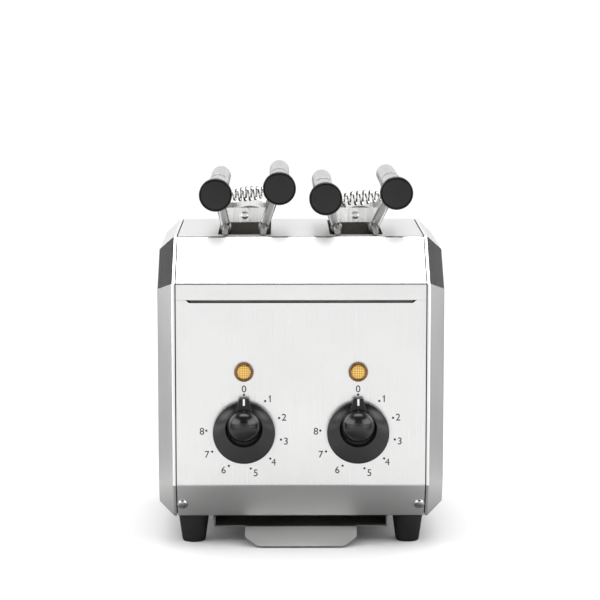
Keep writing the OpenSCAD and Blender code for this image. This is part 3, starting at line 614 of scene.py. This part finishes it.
def put(bm, matrix):
    bmesh.ops.transform(bm, matrix=matrix, verts=bm.verts)
    return bm


def join(bm, part, material=None):
    """Adds a part to a mesh, with another material slot if one is given."""
    if material is not None:
        for face in part.faces:
            face.material_index = material
    carrier = bpy.data.meshes.new("part")
    part.to_mesh(carrier)
    part.free()
    bm.from_mesh(carrier)
    bpy.data.meshes.remove(carrier)
    return bm


# %% The closing step
def dress(name, bm, materials, body, nodes, sharp=35, wall=0, ease=0):
    """Closes a piece: object, wall thickness, eased edges, ride, and the CAD nodes that it stands for."""
    if wall:
        bmesh.ops.triangulate(bm, faces=bm.faces[:], quad_method="BEAUTY", ngon_method="EAR_CLIP")
        bmesh.ops.solidify(bm, geom=bm.faces[:], thickness=wall * MM)
    made = new_object(name, bm, materials, sharp)
    if ease:
        soft = made.modifiers.new("eased_edges", "BEVEL")
        soft.width = ease * MM
        soft.segments = 2
        soft.limit_method = "ANGLE"
        soft.angle_limit = radians(40)
    even = made.modifiers.new("flat_shading", "WEIGHTED_NORMAL")
    even.keep_sharp = True
    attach(made, body)
    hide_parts(*nodes)
    print(name, "faces", len(made.data.polygons), "stands for", ", ".join(nodes))
    return made


# %% [markdown]
# ## The casing
#
# The top cover is one sheet: a plate with two slots, folded down over the upper slopes and again into the
# upright bands. It is made the way a press does it. The plate is cut first, then its front and rear edges
# are drawn out twice, and the bends get their radius from a bevel. Each face gets its finish by how far it
# leans: the faces of a bend are burnished, so they draw a fine line. The wall comes last, from the solidify
# operator.

# %% Top cover
sheet = 1
wrap = 99.0
top_z, slope_z, band_z = 247.0, 214.0, 201.0
top_y, face_y = 75.0, 120.0
slot_x, slot_w, slot_l, slot_r = 45.5, 43, 122, 1.5
bm = bmesh.new()
rim = []
for side, name in SIDES:
    rim += long_hole(bm, (side * slot_x, 0, top_z), slot_w, slot_l, slot_r, Matrix.Identity(4))
rim += outline(bm, [(x * wrap, y * top_y, top_z) for x, y in ((-1, -1), (1, -1), (1, 1), (-1, 1))])
fill(bm, rim, (0, 0, 1))
for side in (-1, 1):
    edge = edges_where(bm, lambda p: near(p.y, side * top_y))
    edge = fold(bm, edge, (0, side * (face_y - top_y), slope_z - top_z))
    fold(bm, edge, (0, 0, band_z - slope_z))
face_toward(bm, (0, 0, 1))
for y, z, radius in ((top_y, top_z, 1.7), (face_y, slope_z, 1.1)):
    round_edges(bm, edges_where(bm, lambda p: near(abs(p.y), y) and near(p.z, z)), radius)


def cover_finish(lean):
    """The slot of a face of the cover, by how much it faces the front or the rear."""
    if lean < 0.05:
        return 0
    if lean > 0.98:
        return 2
    return 1 if 0.55 < lean < 0.63 else 3


for f in bm.faces:
    f.material_index = cover_finish(abs(f.normal.y))
cover_finishes = [level_steel, roof_steel, upright_steel, bend_steel]
dress("cover_shell", bm, cover_finishes, "toaster", ["top_cover"], wall=sheet)

# %% [markdown]
# The front panel is one sheet as well: the tall face, the lower slope, and a flange folded in under the
# casing. Along the vent slit at its top the edge is folded back and up behind the cover, and that fold is
# painted dark, as painted shade in the slit. The holes for the timers and lamps are cut like the slots. The
# rear panel is the same sheet turned round, with louvres and the hole for the cord gland.

# %% Folded panel
panel_top, slit_z, bend_z, under_z = 200.85, 198.65, 51.8, 23.3
slit_half, slit_slant = 88.4, 3.0
low_y, flange_y = 101.0, 70.0
tuck = 6


def panel_outline(bm, y):
    half = [(wrap, bend_z), (wrap, panel_top), (slit_half + slit_slant, panel_top), (slit_half, slit_z)]
    return outline(bm, [(x, y, z) for x, z in half] + [(-x, y, z) for x, z in half[::-1]])


def folded_panel(holes, side):
    """Cuts a panel with its holes and folds its slope, flange and slit; side is -1 at the front."""
    bm = bmesh.new()
    y = side * face_y
    rim = panel_outline(bm, y)
    for cut, x, z, *sizes in holes:
        rim += cut(bm, (x, y, z), *sizes, FRONTWARD if side < 0 else REARWARD)
    fill(bm, rim, (0, side, 0))
    edge = edges_where(bm, lambda p: near(p.z, bend_z))
    edge = fold(bm, edge, (0, side * (low_y - face_y), under_z - bend_z))
    fold(bm, edge, (0, side * (flange_y - low_y), 0))
    edge = fold(bm, edges_where(bm, lambda p: near(p.z, slit_z)), (0, -side * tuck, 0))
    fold(bm, edge, (0, 0, tuck))
    face_toward(bm, (0, side, 0))
    bends = edges_where(bm, lambda p: near(p.z, bend_z) and near(abs(p.y), face_y))
    bends += edges_where(bm, lambda p: near(p.z, under_z) and near(abs(p.y), low_y))
    round_edges(bm, bends, 1.1)
    for f in bm.faces:
        middle = f.calc_center_median() / MM
        # the tucked fold takes the dark sheet: painted shade in the vent slit
        tucked = middle.z > slit_z - 1 and abs(middle.y) < face_y - 1
        f.material_index = 2 if tucked else 0 if abs(f.normal.y) > 0.95 else 1
    return bm


# %% Front and rear panels
control_x, timer_z, lamp_z = 45.3, 95.3, 143.7
shaft_hole, lamp_hole = 4.55, 5.8
front_holes = []
for side, name in SIDES:
    front_holes.append((round_hole, side * control_x, timer_z, shaft_hole))
    front_holes.append((round_hole, side * control_x, lamp_z, lamp_hole))
panel_finishes = [upright_steel, slope_steel, heat_tint_and_shade_sheet]
bm = folded_panel(front_holes, -1)
dress("front_shell", bm, panel_finishes, "toaster", ["front_panel"], wall=sheet)

gland_x, gland_z, gland_hole = 58, 70, 7.05
louvres, louvre_pitch, louvre_z, louvre_w, louvre_l, louvre_r = 9, 12, 144, 4, 34, 1.95
rear_holes = [(round_hole, gland_x, gland_z, gland_hole)]
for i in range(louvres):
    x = (i - (louvres - 1) / 2) * louvre_pitch
    rear_holes.append((long_hole, x, louvre_z, louvre_w, louvre_l, louvre_r))
bm = folded_panel(rear_holes, 1)
dress("rear_shell", bm, panel_finishes, "toaster", ["rear_panel"], wall=sheet)

# %% [markdown]
# Each side is a deep-drawn lid: a narrow strip level with the wrap, then a bevel all the way round, then
# the flat side. That is one face with eight corners, extruded for the strip and inset for the bevel. The
# creases that run round the lid are rounded, which gives them thin bright lines, and the corners between
# two bevels stay crisp. Its open edge is folded in as a lip that reaches under the wrap, so no light comes
# through the seam. The lip is painted black, as painted shade, so the seam is a dark line.

# %% Side panels
lid_x, strip, bevel_in, bevel_out, lip = 100.0, 2, 11, 12, 4
lip_scale = 0.9845
half_side = [(low_y, under_z), (face_y, bend_z), (face_y, slope_z), (top_y, top_z)]
casing_side = half_side + [(-y, z) for y, z in half_side[::-1]]
lid_finishes = [side_steel, rim_steel, gland_plastic_and_seam_shade]
for side, name in SIDES:
    bm = bmesh.new()
    inner = bm.faces.new([bm.verts.new(Vector((side * lid_x, y, z)) * MM) for y, z in casing_side])
    raised = raise_faces(bm, [inner], (side * strip, 0, 0))
    lid = [g for g in raised["geom"] if isinstance(g, bmesh.types.BMFace)]
    inner = [f for f in bm.faces if all(near(abs(v.co.x) / MM, lid_x) for v in f.verts)]
    bmesh.ops.delete(bm, geom=inner, context="FACES_ONLY")
    face_toward(bm, (side, 0, 0))
    bmesh.ops.inset_region(
        bm, faces=lid, thickness=bevel_in * MM, depth=bevel_out * MM, use_even_offset=True, use_boundary=True,
    )
    creases = [e for e in crease_edges(bm, 20) if near(e.verts[0].co.x / MM, e.verts[1].co.x / MM)]
    round_edges(bm, creases, 0.6, 3)
    outside = set(bm.faces)
    edge = fold(bm, [e for e in bm.edges if e.is_boundary], (0, 0, 0))
    verts = list(dict.fromkeys(v for e in edge for v in e.verts))
    about_middle = at((0, 0, -(under_z + top_z) / 2))
    bmesh.ops.scale(bm, vec=(1, lip_scale, lip_scale), space=about_middle, verts=verts)
    fold(bm, edge, (-side * lip, 0, 0))
    for f in bm.faces:
        # the lip takes the black finish: painted shade in the seam
        f.material_index = 2 if f not in outside else 1 if abs(f.normal.z) > 0.3 else 0
    node = f"{name}_side_panel"
    dress(f"{name}_lid", bm, lid_finishes, "toaster", [node], sharp=18, wall=sheet)

# %% [markdown]
# ## Screws and feet
#
# A pan-head screw is turned from a low dome. Its cross recess is cut by pushing in the faces of the dome's
# middle that lie near the two axes. The four feet are turned rubber cones, wider at the top, with a small
# round edge where they stand and a deep hole for their screw.

# %% Case screws
recess_r, recess_depth, arm_share = 2.2, 1.6, 0.378


def pan_head():
    top = [(0, 2.4), (0.7, 2.39), (1.4, 2.36), (2.2, 2.28)]
    flank = [(3.1, 2.02), (3.9, 1.45), (4.4, 0.6), (4.5, 0.0), (0, 0.0)]
    bm = turned(top + flank, 24)
    cross = []
    for f in bm.faces:
        middle = f.calc_center_median() / MM
        r = middle.xy.length
        off_axis, along_axis = sorted((abs(middle.x), abs(middle.y)))
        if middle.z > 2.2 and r < recess_r and (off_axis < arm_share * along_axis or r < 0.6):
            cross.append(f)
    raise_faces(bm, cross, (0, 0, -recess_depth))
    bmesh.ops.delete(bm, geom=[f for f in cross if f.is_valid], context="FACES_ONLY")
    shank = turned([(0, 0.2), (1.95, 0.2), (1.95, -8.6), (1.4, -9.0), (0, -9.0)], 20)
    return join(bm, shank)


screw_x, screw_z = 95, 34.617
slope_run, slope_rise = face_y - low_y, bend_z - under_z
screw_y = low_y + (screw_z - under_z) * slope_run / slope_rise
screw_turn = pi - atan2(slope_rise, slope_run)
bm = bmesh.new()
for x in (-screw_x, screw_x):
    for side in (1, -1):
        turn = Matrix.Rotation(side * screw_turn, 4, "X")
        join(bm, put(pan_head(), at((x, -side * screw_y, screw_z)) @ turn))
dress("pan_screws", bm, [screw_steel], "toaster", ["case_screws"], sharp=40)

# %% Feet
foot_r, foot_top = 12.5, 23.25
foot_cone = [(2.05, foot_top), (foot_r - 0.05, foot_top), (foot_r, 22.8), (9.6, 2.2)]
foot_sole = [(9.35, 1.3), (9.15, 0.6), (8.6, 0.0), (4.8, 0.0)]
foot_bore = [(4.8, 9.0), (2.05, 9.0), (2.05, foot_top)]
foot_x, foot_y = 86.7, 85
bm = bmesh.new()
for x in (-foot_x, foot_x):
    for y in (-foot_y, foot_y):
        join(bm, put(turned(foot_cone + foot_sole + foot_bore, 56), at((x, y, 0))))
dress("rubber_cones", bm, [foot_rubber], "toaster", ["rubber_feet"], sharp=45)

# %% [markdown]
# ## Crumb tray
#
# The tray is a flat blank with three edges folded up. Its front edge stays open, and the middle of it runs
# out as a pull tab that slopes down, with its corners cut off. The bends are rounded before the sheet gets
# its wall.

# %% Tray
tray_x, tray_z, tray_front, tray_rear, tray_wall = 70, 13.6, -98.0, 87.0, 8
tab_x, tab_run, tab_fall, tab_cut, tab_round = 45, 17.62, 12.8, 10, 2.2
bm = bmesh.new()
front_line = [(x, tray_front, tray_z) for x in (-tray_x, -tab_x, tab_x, tray_x)]
tray = outline(bm, front_line + [(tray_x, tray_rear, tray_z), (-tray_x, tray_rear, tray_z)])
fill(bm, tray, (0, 0, -1))
sides = [e for e in tray if e.is_valid and not all(near(v.co.y / MM, tray_front) for v in e.verts)]
fold(bm, sides, (0, 0, tray_wall))
tab_root = edges_where(
    bm, lambda p: near(p.y, tray_front) and abs(p.x) < tab_x + 0.1 and p.z < tray_z + 0.1,
)
tab_edge = fold(bm, tab_root, (0, -tab_run, -tab_fall))
round_corners(bm, [v for e in tab_edge for v in e.verts], tab_cut, 1)
tips = [v for v in bm.verts if v.co.y / MM < tray_front - 4 and v.is_boundary]
round_corners(bm, tips, tab_round, 4)
face_toward(bm, (0, 0, -1))
round_edges(bm, crease_edges(bm, 8), 0.8, 3)
# the tray body behind the tab takes the dark sheet: painted shade under the casing
for f in bm.faces:
    f.material_index = 1 if f.calc_center_median().y / MM > tray_front - 1 else 0
dress("folded_tray", bm, [tray_steel, heat_tint_and_shade_sheet], "crumb_tray", ["crumb_tray"], wall=sheet)

# %% [markdown]
# ## Timer knobs
#
# A timer knob is a wide skirt with a ball to grip and a pointer that runs from the ball over the rim. Skirt
# and ball are one turned profile, with a groove between them that reads as a dark ring. The grip then leans
# towards the pointer: its points are moved that way, the ball's top most of all.

# %% Knob body
bore_r, bore_top = 3.0, 12.0
ball_r, ball_z = 13.3, 7.7


def knob_profile():
    rim = [(bore_r, 0), (23.2, 0), (23.7, 0.3), (23.9, 0.9), (24.7, 4.3), (24.75, 4.75), (24.6, 5.05)]
    cone = [(24.2, 5.2), (22.5, 5.65), (19, 6.7), (15.5, 7.7), (14.8, 7.8)]
    groove = [(14.35, 7.4), (14.1, 6.4), (13.8, 5.4), (13.5, 5.0)]
    turns = [radians(a) for a in range(-8, 91, 7)]
    ball = [(ball_r * cos(a), ball_z + ball_r * sin(a)) for a in turns]
    bore = [(0, ball_z + ball_r), (0, bore_top), (bore_r, bore_top), (bore_r, 0)]
    return rim + cone + groove + ball + bore


def lean_grip(bm):
    """Moves the ring and the ball towards the pointer, the ball's top most of all."""
    ring_shift, ball_shift, lean = 3.6, 2.4, 0.1
    fixed_r, blend = 23.0, 7.0
    skirt_h, groove_h, lean_h = 4.5, 5.5, 6
    for v in bm.verts:
        r, h = v.co.xy.length / MM, v.co.z / MM
        if h > skirt_h and (r > bore_r + 0.2 or h > bore_top + 1):
            share = min(max((fixed_r - r) / blend, 0), 1)
            lift = ball_shift if r < ball_r + 0.1 and h > groove_h else 0
            v.co.y += (ring_shift + lift + lean * max(h - lean_h, 0)) * share * MM


# %% [markdown]
# The pointer is a tapered block with round edges whose top slopes down to the rim, and the line on it is a
# thin inlay that stands just clear of the plastic.

# %% Pointer and knobs
block_foot, block_rise, tip_out, tip_drop = 4.0, 4.6, 1.0, 2.8
line_size, line_r, line_h, line_tilt = (1.6, 5.3, 0.2), 25.0, 6.37, -11


def pointer_block():
    bm = bmesh.new()
    base = [(-4, 26.8), (4, 26.8), (7.4, 14), (-7.4, 14)]
    foot = bm.faces.new([bm.verts.new(Vector((x, r, block_foot)) * MM) for x, r in base])
    top = new_verts(raise_faces(bm, [foot], (0, 0, block_rise)))
    tip = [v for v in top if v.co.y / MM > 20]
    bmesh.ops.translate(bm, vec=Vector((0, tip_out, -tip_drop)) * MM, verts=tip)
    face_out(bm)
    round_edges(bm, crease_edges(bm), 0.3, 3)
    return bm


def pointer_line():
    bm = bmesh.new()
    place = at((0, line_r, line_h)) @ Matrix.Rotation(radians(line_tilt), 4, "X")
    bmesh.ops.create_cube(bm, size=MM, matrix=place @ Matrix.Diagonal((*line_size, 1)))
    round_edges(bm, crease_edges(bm), 0.04, 1)
    return bm


knob_back = -121.0
knob_finishes = [knob_black, line_white]
for side, name in SIDES:
    bm = turned(knob_profile(), 96)
    lean_grip(bm)
    join(bm, pointer_block())
    join(bm, pointer_line(), 1)
    put(bm, at((side * control_x, knob_back, timer_z)) @ FRONTWARD)
    knob = f"{name}_knob"
    dress(f"{name}_pointer_knob", bm, knob_finishes, knob, [knob], sharp=40)

# %% [markdown]
# ## Pilot lamps
#
# Each lamp is a thick ring with a sunk lens. Two turned profiles share one object: the ring keeps the brown
# finish and the lens gets the prisms.

# %% Lamps
ring_outside = [(5.75, -8), (5.75, 0), (7.8, 0), (7.8, 1.9), (7.6, 2.6), (7.1, 3.2)]
ring_inside = [(6.6, 3.4), (6.1, 3.2), (5.7, 2.7), (5.55, 2.2), (5.55, -8), (5.75, -8)]
lens_line = [(5.5, -7.5), (5.5, 2.2), (4.6, 2.55), (3.2, 2.8), (1.6, 2.95), (0, 3.0), (0, -7.5), (5.5, -7.5)]
for side, name in SIDES:
    bm = turned(ring_outside + ring_inside)
    join(bm, turned(lens_line), 1)
    put(bm, at((side * control_x, -face_y, lamp_z)) @ FRONTWARD)
    node = f"{name}_lamp_lens"
    dress(f"{name}_pilot_lamp", bm, [ring_amber, lamp_amber], "toaster", [node], sharp=50)

# %% [markdown]
# ## Dial print
#
# Numbers 0 to 8 run clockwise round each knob, with a dot for each. The real ones are screen-printed, so
# they are flat: each number is a text object turned into a mesh, and it lies a few hundredths of a
# millimetre in front of the panel, where ink would be. The font's 1 is a bare stroke, so it gets a small
# flag.

# %% Digits
def digit_mesh(text, size):
    curve = bpy.data.curves.new("digit", "FONT")
    curve.body = text
    curve.size = size * MM
    curve.align_x = "CENTER"
    curve.align_y = "CENTER"
    curve.resolution_u = 6
    curve.offset = 0 if text == "4" else 0.06 * MM
    carrier = bpy.data.objects.new("digit", curve)
    mesh = bpy.data.meshes.new_from_object(carrier)
    bpy.data.objects.remove(carrier)
    bpy.data.curves.remove(curve)
    bm = bmesh.new()
    bm.from_mesh(mesh)
    bpy.data.meshes.remove(mesh)
    if text == "1":
        flag = [(0.1, 2.7), (-1.35, 1.8), (-1.35, 1.15), (0.1, 1.9)]
        bm.faces.new([bm.verts.new((x * MM, y * MM, 0)) for x, y in flag])
    return bm


def digit_step(number, angle):
    """From a dot to the middle of its digit, in millimetres: to the side, and up."""
    if number == 0:
        return Vector((0, 0, 4.3))
    beside = {4: 2.7, 6: -4.2, 7: -4.2, 8: -3.5}.get(number, 4.0)
    return Vector((beside, 0, 3.0 * cos(angle) - 0.9))


# %% Dials
ink_y = -face_y - 0.03
dial_r, dial_step, dot_r, digit_size = 30, 34, 0.92, 7.9
for side, name in SIDES:
    bm = bmesh.new()
    centre = Vector((side * control_x, ink_y, timer_z))
    for number in range(9):
        angle = radians(dial_step * number)
        dot = centre + Vector((dial_r * sin(angle), 0, dial_r * cos(angle)))
        spot = bmesh.new()
        bmesh.ops.create_circle(spot, cap_ends=True, radius=dot_r * MM, segments=20)
        join(bm, put(spot, at(dot) @ FRONTWARD))
        join(bm, put(digit_mesh(str(number), digit_size), at(dot + digit_step(number, angle)) @ FRONTWARD))
    print_piece = new_object(f"{name}_dial_print", bm, [print_ink])
    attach(print_piece, "toaster")
    print(print_piece.name, "faces", len(print_piece.data.polygons))

# %% [markdown]
# ## Tongs
#
# Each tong has two handle tubes, closed at the rear and plugged with a black cap in front, two pairs of
# flat arms that cross at a riveted pin, and a barrel spring that pushes the handles apart and so keeps the
# jaws closed. Handles and caps are turned. A tube carries a short seat for the spring. The seat's place
# follows from the two handle centres, just as in the CAD model.

# %% Handle places
pivot_z, spring_y, seat_low, tube_r = 259.6, -38.0, 5.0, 8.5
near_reach, far_reach = 31.0, 38.7
seat_face = sqrt(tube_r ** 2 - seat_low ** 2) + 2.0
tongs = (("left", -45.5, 42.6), ("right", 45.5, 35.3))


def handle_centres(rise):
    """The near and the far handle, seen from the pivot, for an angle of rise in degrees."""
    out, up = cos(radians(rise)), sin(radians(rise))
    return Vector((-near_reach * out, 0, near_reach * up)), Vector((far_reach * out, 0, far_reach * up))


def spring_axes(rise):
    """The direction from the near handle to the far one, and the one square to it, downwards."""
    near_handle, far_handle = handle_centres(rise)
    along = (far_handle - near_handle).normalized()
    return along, Vector((along.z, 0, -along.x))


print("handles:", {name: [tuple(round(c, 1) for c in h) for h in handle_centres(r)] for name, x, r in tongs})


# %% Handles and caps
tube_front, tube_end, tube_floor, tube_bore = 73.95, -125, -124, 7.5


def handle_tube(centre, toward, below):
    mouth = [(tube_bore, tube_front), (8.3, tube_front), (tube_r, 73.6)]
    tail = [(tube_r, -123.2), (8.3, -124.2), (7.6, -124.8), (6.6, tube_end), (0, tube_end)]
    inside = [(0, tube_floor), (tube_bore, tube_floor), (tube_bore, tube_front)]
    bm = put(turned(mouth + tail + inside), at(centre) @ FRONTWARD)
    seat = turned([(0, 2.5), (4.5, 2.5), (4.5, seat_face - 0.4), (4.1, seat_face), (0, seat_face)], 32)
    foot = centre + below * seat_low + Vector((0, spring_y, 0))
    return join(bm, put(seat, at(foot) @ toward.to_track_quat("Z", "Y").to_matrix().to_4x4()))


def handle_cap(centre):
    plug = [(0, 62.2), (7.45, 62.2), (7.45, 74.0), (12.6, 74.0), (13.1, 74.3), (13.3, 74.9)]
    edge = [(13.3, 79.6), (13.1, 80.3), (12.7, 80.7), (12.4, 80.7)]
    groove = [(12.2, 80.3), (12.0, 80.0), (11.8, 80.2), (11.5, 80.6), (11.1, 80.8), (0, 81.0)]
    return put(turned(plug + edge + groove, 72), at(centre) @ FRONTWARD)


for name, x, rise in tongs:
    pivot = Vector((x, 0, pivot_z))
    along, below = spring_axes(rise)
    for half, offset, toward in zip(("near", "far"), handle_centres(rise), (along, -along)):
        node = f"{name}_tong_{half}"
        body = f"{node}_half"
        tube = handle_tube(pivot + offset, toward, below)
        dress(f"{node}_tube", tube, [handle_steel], body, [f"{node}_handle"], sharp=25)
        dress(f"{node}_plug", handle_cap(pivot + offset), [cap_black], body, [f"{node}_cap"])

# %% [markdown]
# The arms are punched from plate. Their outline is right in the CAD model, so a clean copy of it gets its
# edges eased, as the press leaves them. On the real arms the eye is tight round the tube, so the copy's eye
# is drawn in, and each leg is stamped with a long round bead that makes it stiff. The bead is a turned
# capsule, pressed flat, and painted darker than the plate, as painted shade. The top faces of the arched
# bridge over the pin are painted darker too, as painted shade. The pin is a turned rivet with a dome at each
# end.

# %% Beads and rivets
bead_flat, pin_r = 0.45, 2
dome = [(3.2, 1.6), (3.2, 0.9), (2.9, 0.45), (2.2, 0.18), (1.2, 0.05), (0, 0)]  # radius, depth from the end


def leg_bead(foot, top, y):
    """A flat capsule from the rail to the underside of the tube, on the plate's face at y."""
    along = (top - foot).normalized()
    run = (top - foot).length - tube_r + 0.5
    across = Vector((0, 1, 0)).cross(along)
    turn = Matrix((across, Vector((0, bead_flat, 0)), along)).transposed().to_4x4()
    end = [(0, 0), (2.2, 0.5), (3.4, 1.6), (3.9, 3.4)]
    capsule = end + [(r, run - h) for r, h in end[::-1]]
    return put(turned(capsule, 24), at(foot + Vector((0, y, 0))) @ turn)


def rivet(end):
    """A pin along Z with a dome at each end; end is half its length."""
    upper = [(r, end - depth) for r, depth in dome[::-1]] + [(pin_r, end - dome[0][1])]
    return turned(upper + [(r, -h) for r, h in upper[::-1]], 40)


# %% Arms
eye_r, eye_draw, dark_top_z = 10.5, 1.5, 3
arm_finishes = [plate_steel, wire_steel, shaded_leg_steel]
for name, x, rise in tongs:
    for half, offset in zip(("near", "far"), handle_centres(rise)):
        body = f"{name}_tong_{half}_half"
        node = f"{name}_tong_{half}_arms"
        low, high = (Vector(corner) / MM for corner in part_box(f"{name}_tong_{half}_rail"))
        foot = Vector(((low.x + high.x) / 2, 0, (low.z + high.z) / 2))
        top = Vector((x, 0, pivot_z)) + offset
        bm = from_cad(node)
        for v in bm.verts:
            off = Vector((v.co.x / MM - top.x, 0, v.co.z / MM - top.z))
            if abs(off.length - eye_r) < 0.3:
                v.co -= off.normalized() * eye_draw * MM
        for f in bm.faces:
            # top-facing faces of the bridge take the darker wire steel: painted shade
            painted_dark_top = f.normal.z > 0.5 and f.calc_center_median().z / MM > pivot_z + dark_top_z
            f.material_index = 1 if painted_dark_top else 0
        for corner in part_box(node):
            join(bm, leg_bead(foot, top, corner[1] / MM), 2)
        dress(f"{node}_plate", bm, arm_finishes, body, [node], ease=0.6)
    node = f"{name}_tong_pin"
    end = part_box(node)[1][1] / MM
    bm = put(rivet(end), at((x, 0, pivot_z)) @ FRONTWARD)
    dress(f"{node}_rivet", bm, [plate_steel], f"{name}_tong", [node])

# %% [markdown]
# A spring is a wire wound in a screw line. Spin makes one directly when each step also moves along the
# axis. The winding is then swollen towards its middle to give the barrel shape.

# %% Spring winding
wire_r, curls, curl_steps, end_r, swell = 0.8, 7, 28, 3.6, 2.4


def barrel_spring(length):
    """A spring along +X from the origin, with its length in millimetres."""
    bm = bmesh.new()
    steps = curls * curl_steps
    first_x = 2 * wire_r
    run = length - 2 * first_x
    across_wire = Matrix.Rotation(radians(90), 4, "Y") @ Matrix.Rotation(radians(90), 4, "X")
    start = at((first_x, end_r, 0)) @ across_wire
    ring = bmesh.ops.create_circle(bm, cap_ends=False, radius=wire_r * MM, segments=12, matrix=start)["verts"]
    bmesh.ops.spin(
        bm, geom=ring + edges_of(ring), cent=(0, 0, 0), axis=(1, 0, 0), dvec=(run * MM / steps, 0, 0),
        angle=2 * pi * curls, steps=steps, use_merge=False, use_normal_flip=False, use_duplicate=False,
    )
    bmesh.ops.remove_doubles(bm, verts=bm.verts, dist=1e-7)
    bmesh.ops.holes_fill(bm, edges=[e for e in bm.edges if e.is_boundary], sides=0)
    face_out(bm)
    for v in bm.verts:
        out = Vector((0, v.co.y, v.co.z)).normalized()
        share = min(max((v.co.x / MM - first_x) / run, 0), 1)
        v.co += out * swell * MM * sin(pi * share)
    return bm


# %% Springs
seat_gap = 0.3
for name, x, rise in tongs:
    near_handle, far_handle = handle_centres(rise)
    along, below = spring_axes(rise)
    back = Vector((0, 1, 0))
    first = Vector((x, spring_y, pivot_z)) + near_handle + below * seat_low + along * (seat_face + seat_gap)
    length = (far_handle - near_handle).length - 2 * (seat_face + seat_gap)
    turn = Matrix((along, back, along.cross(back))).transposed().to_4x4()
    bm = put(barrel_spring(length), at(first) @ turn)
    body, node = f"{name}_tong", f"{name}_tong_spring"
    coil = dress(f"{name}_barrel_spring", bm, [spring_steel], body, [node], sharp=60)
    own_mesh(coil)
    print(coil.name, "length", round(length, 2), "mm")

# %% [markdown]
# ## What stays as the CAD model made it
#
# The chamber, the heaters, the guards, the jaws and the hidden parts already have the right shape. They
# keep their meshes and only change their finish.

# %% Finishes of the carried-over nodes
halves = [f"{name}_tong_{half}" for side, name in SIDES for half in ("near", "far")]
hanging = [f"{half}_{bar}" for half in halves for bar in ("rail", "jaw")]
kept = {
    inner_sheet: ["front_reflector", "rear_reflector", "side_reflectors", "divider"],
    base_sheet: ["base_plate", "tray_rails"],
    heater_skin: ["left_outer_heater", "left_inner_heater", "right_inner_heater", "right_outer_heater"],
    pale_ceramic: ["heater_bushes", "left_timer", "right_timer", "terminal_block"],
    gland_plastic_and_seam_shade: ["cord_gland", "lamp_holders"],
    screw_steel: ["foot_screws", "left_timer_shaft", "right_timer_shaft"],
    slot_shade_wire: ["left_guards", "right_guards"] + hanging,
}
for material, nodes in kept.items():
    for node in nodes:
        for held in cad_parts[node].material_slots:
            held.material = material
print("carried over:", sum(len(nodes) for nodes in kept.values()), "nodes")
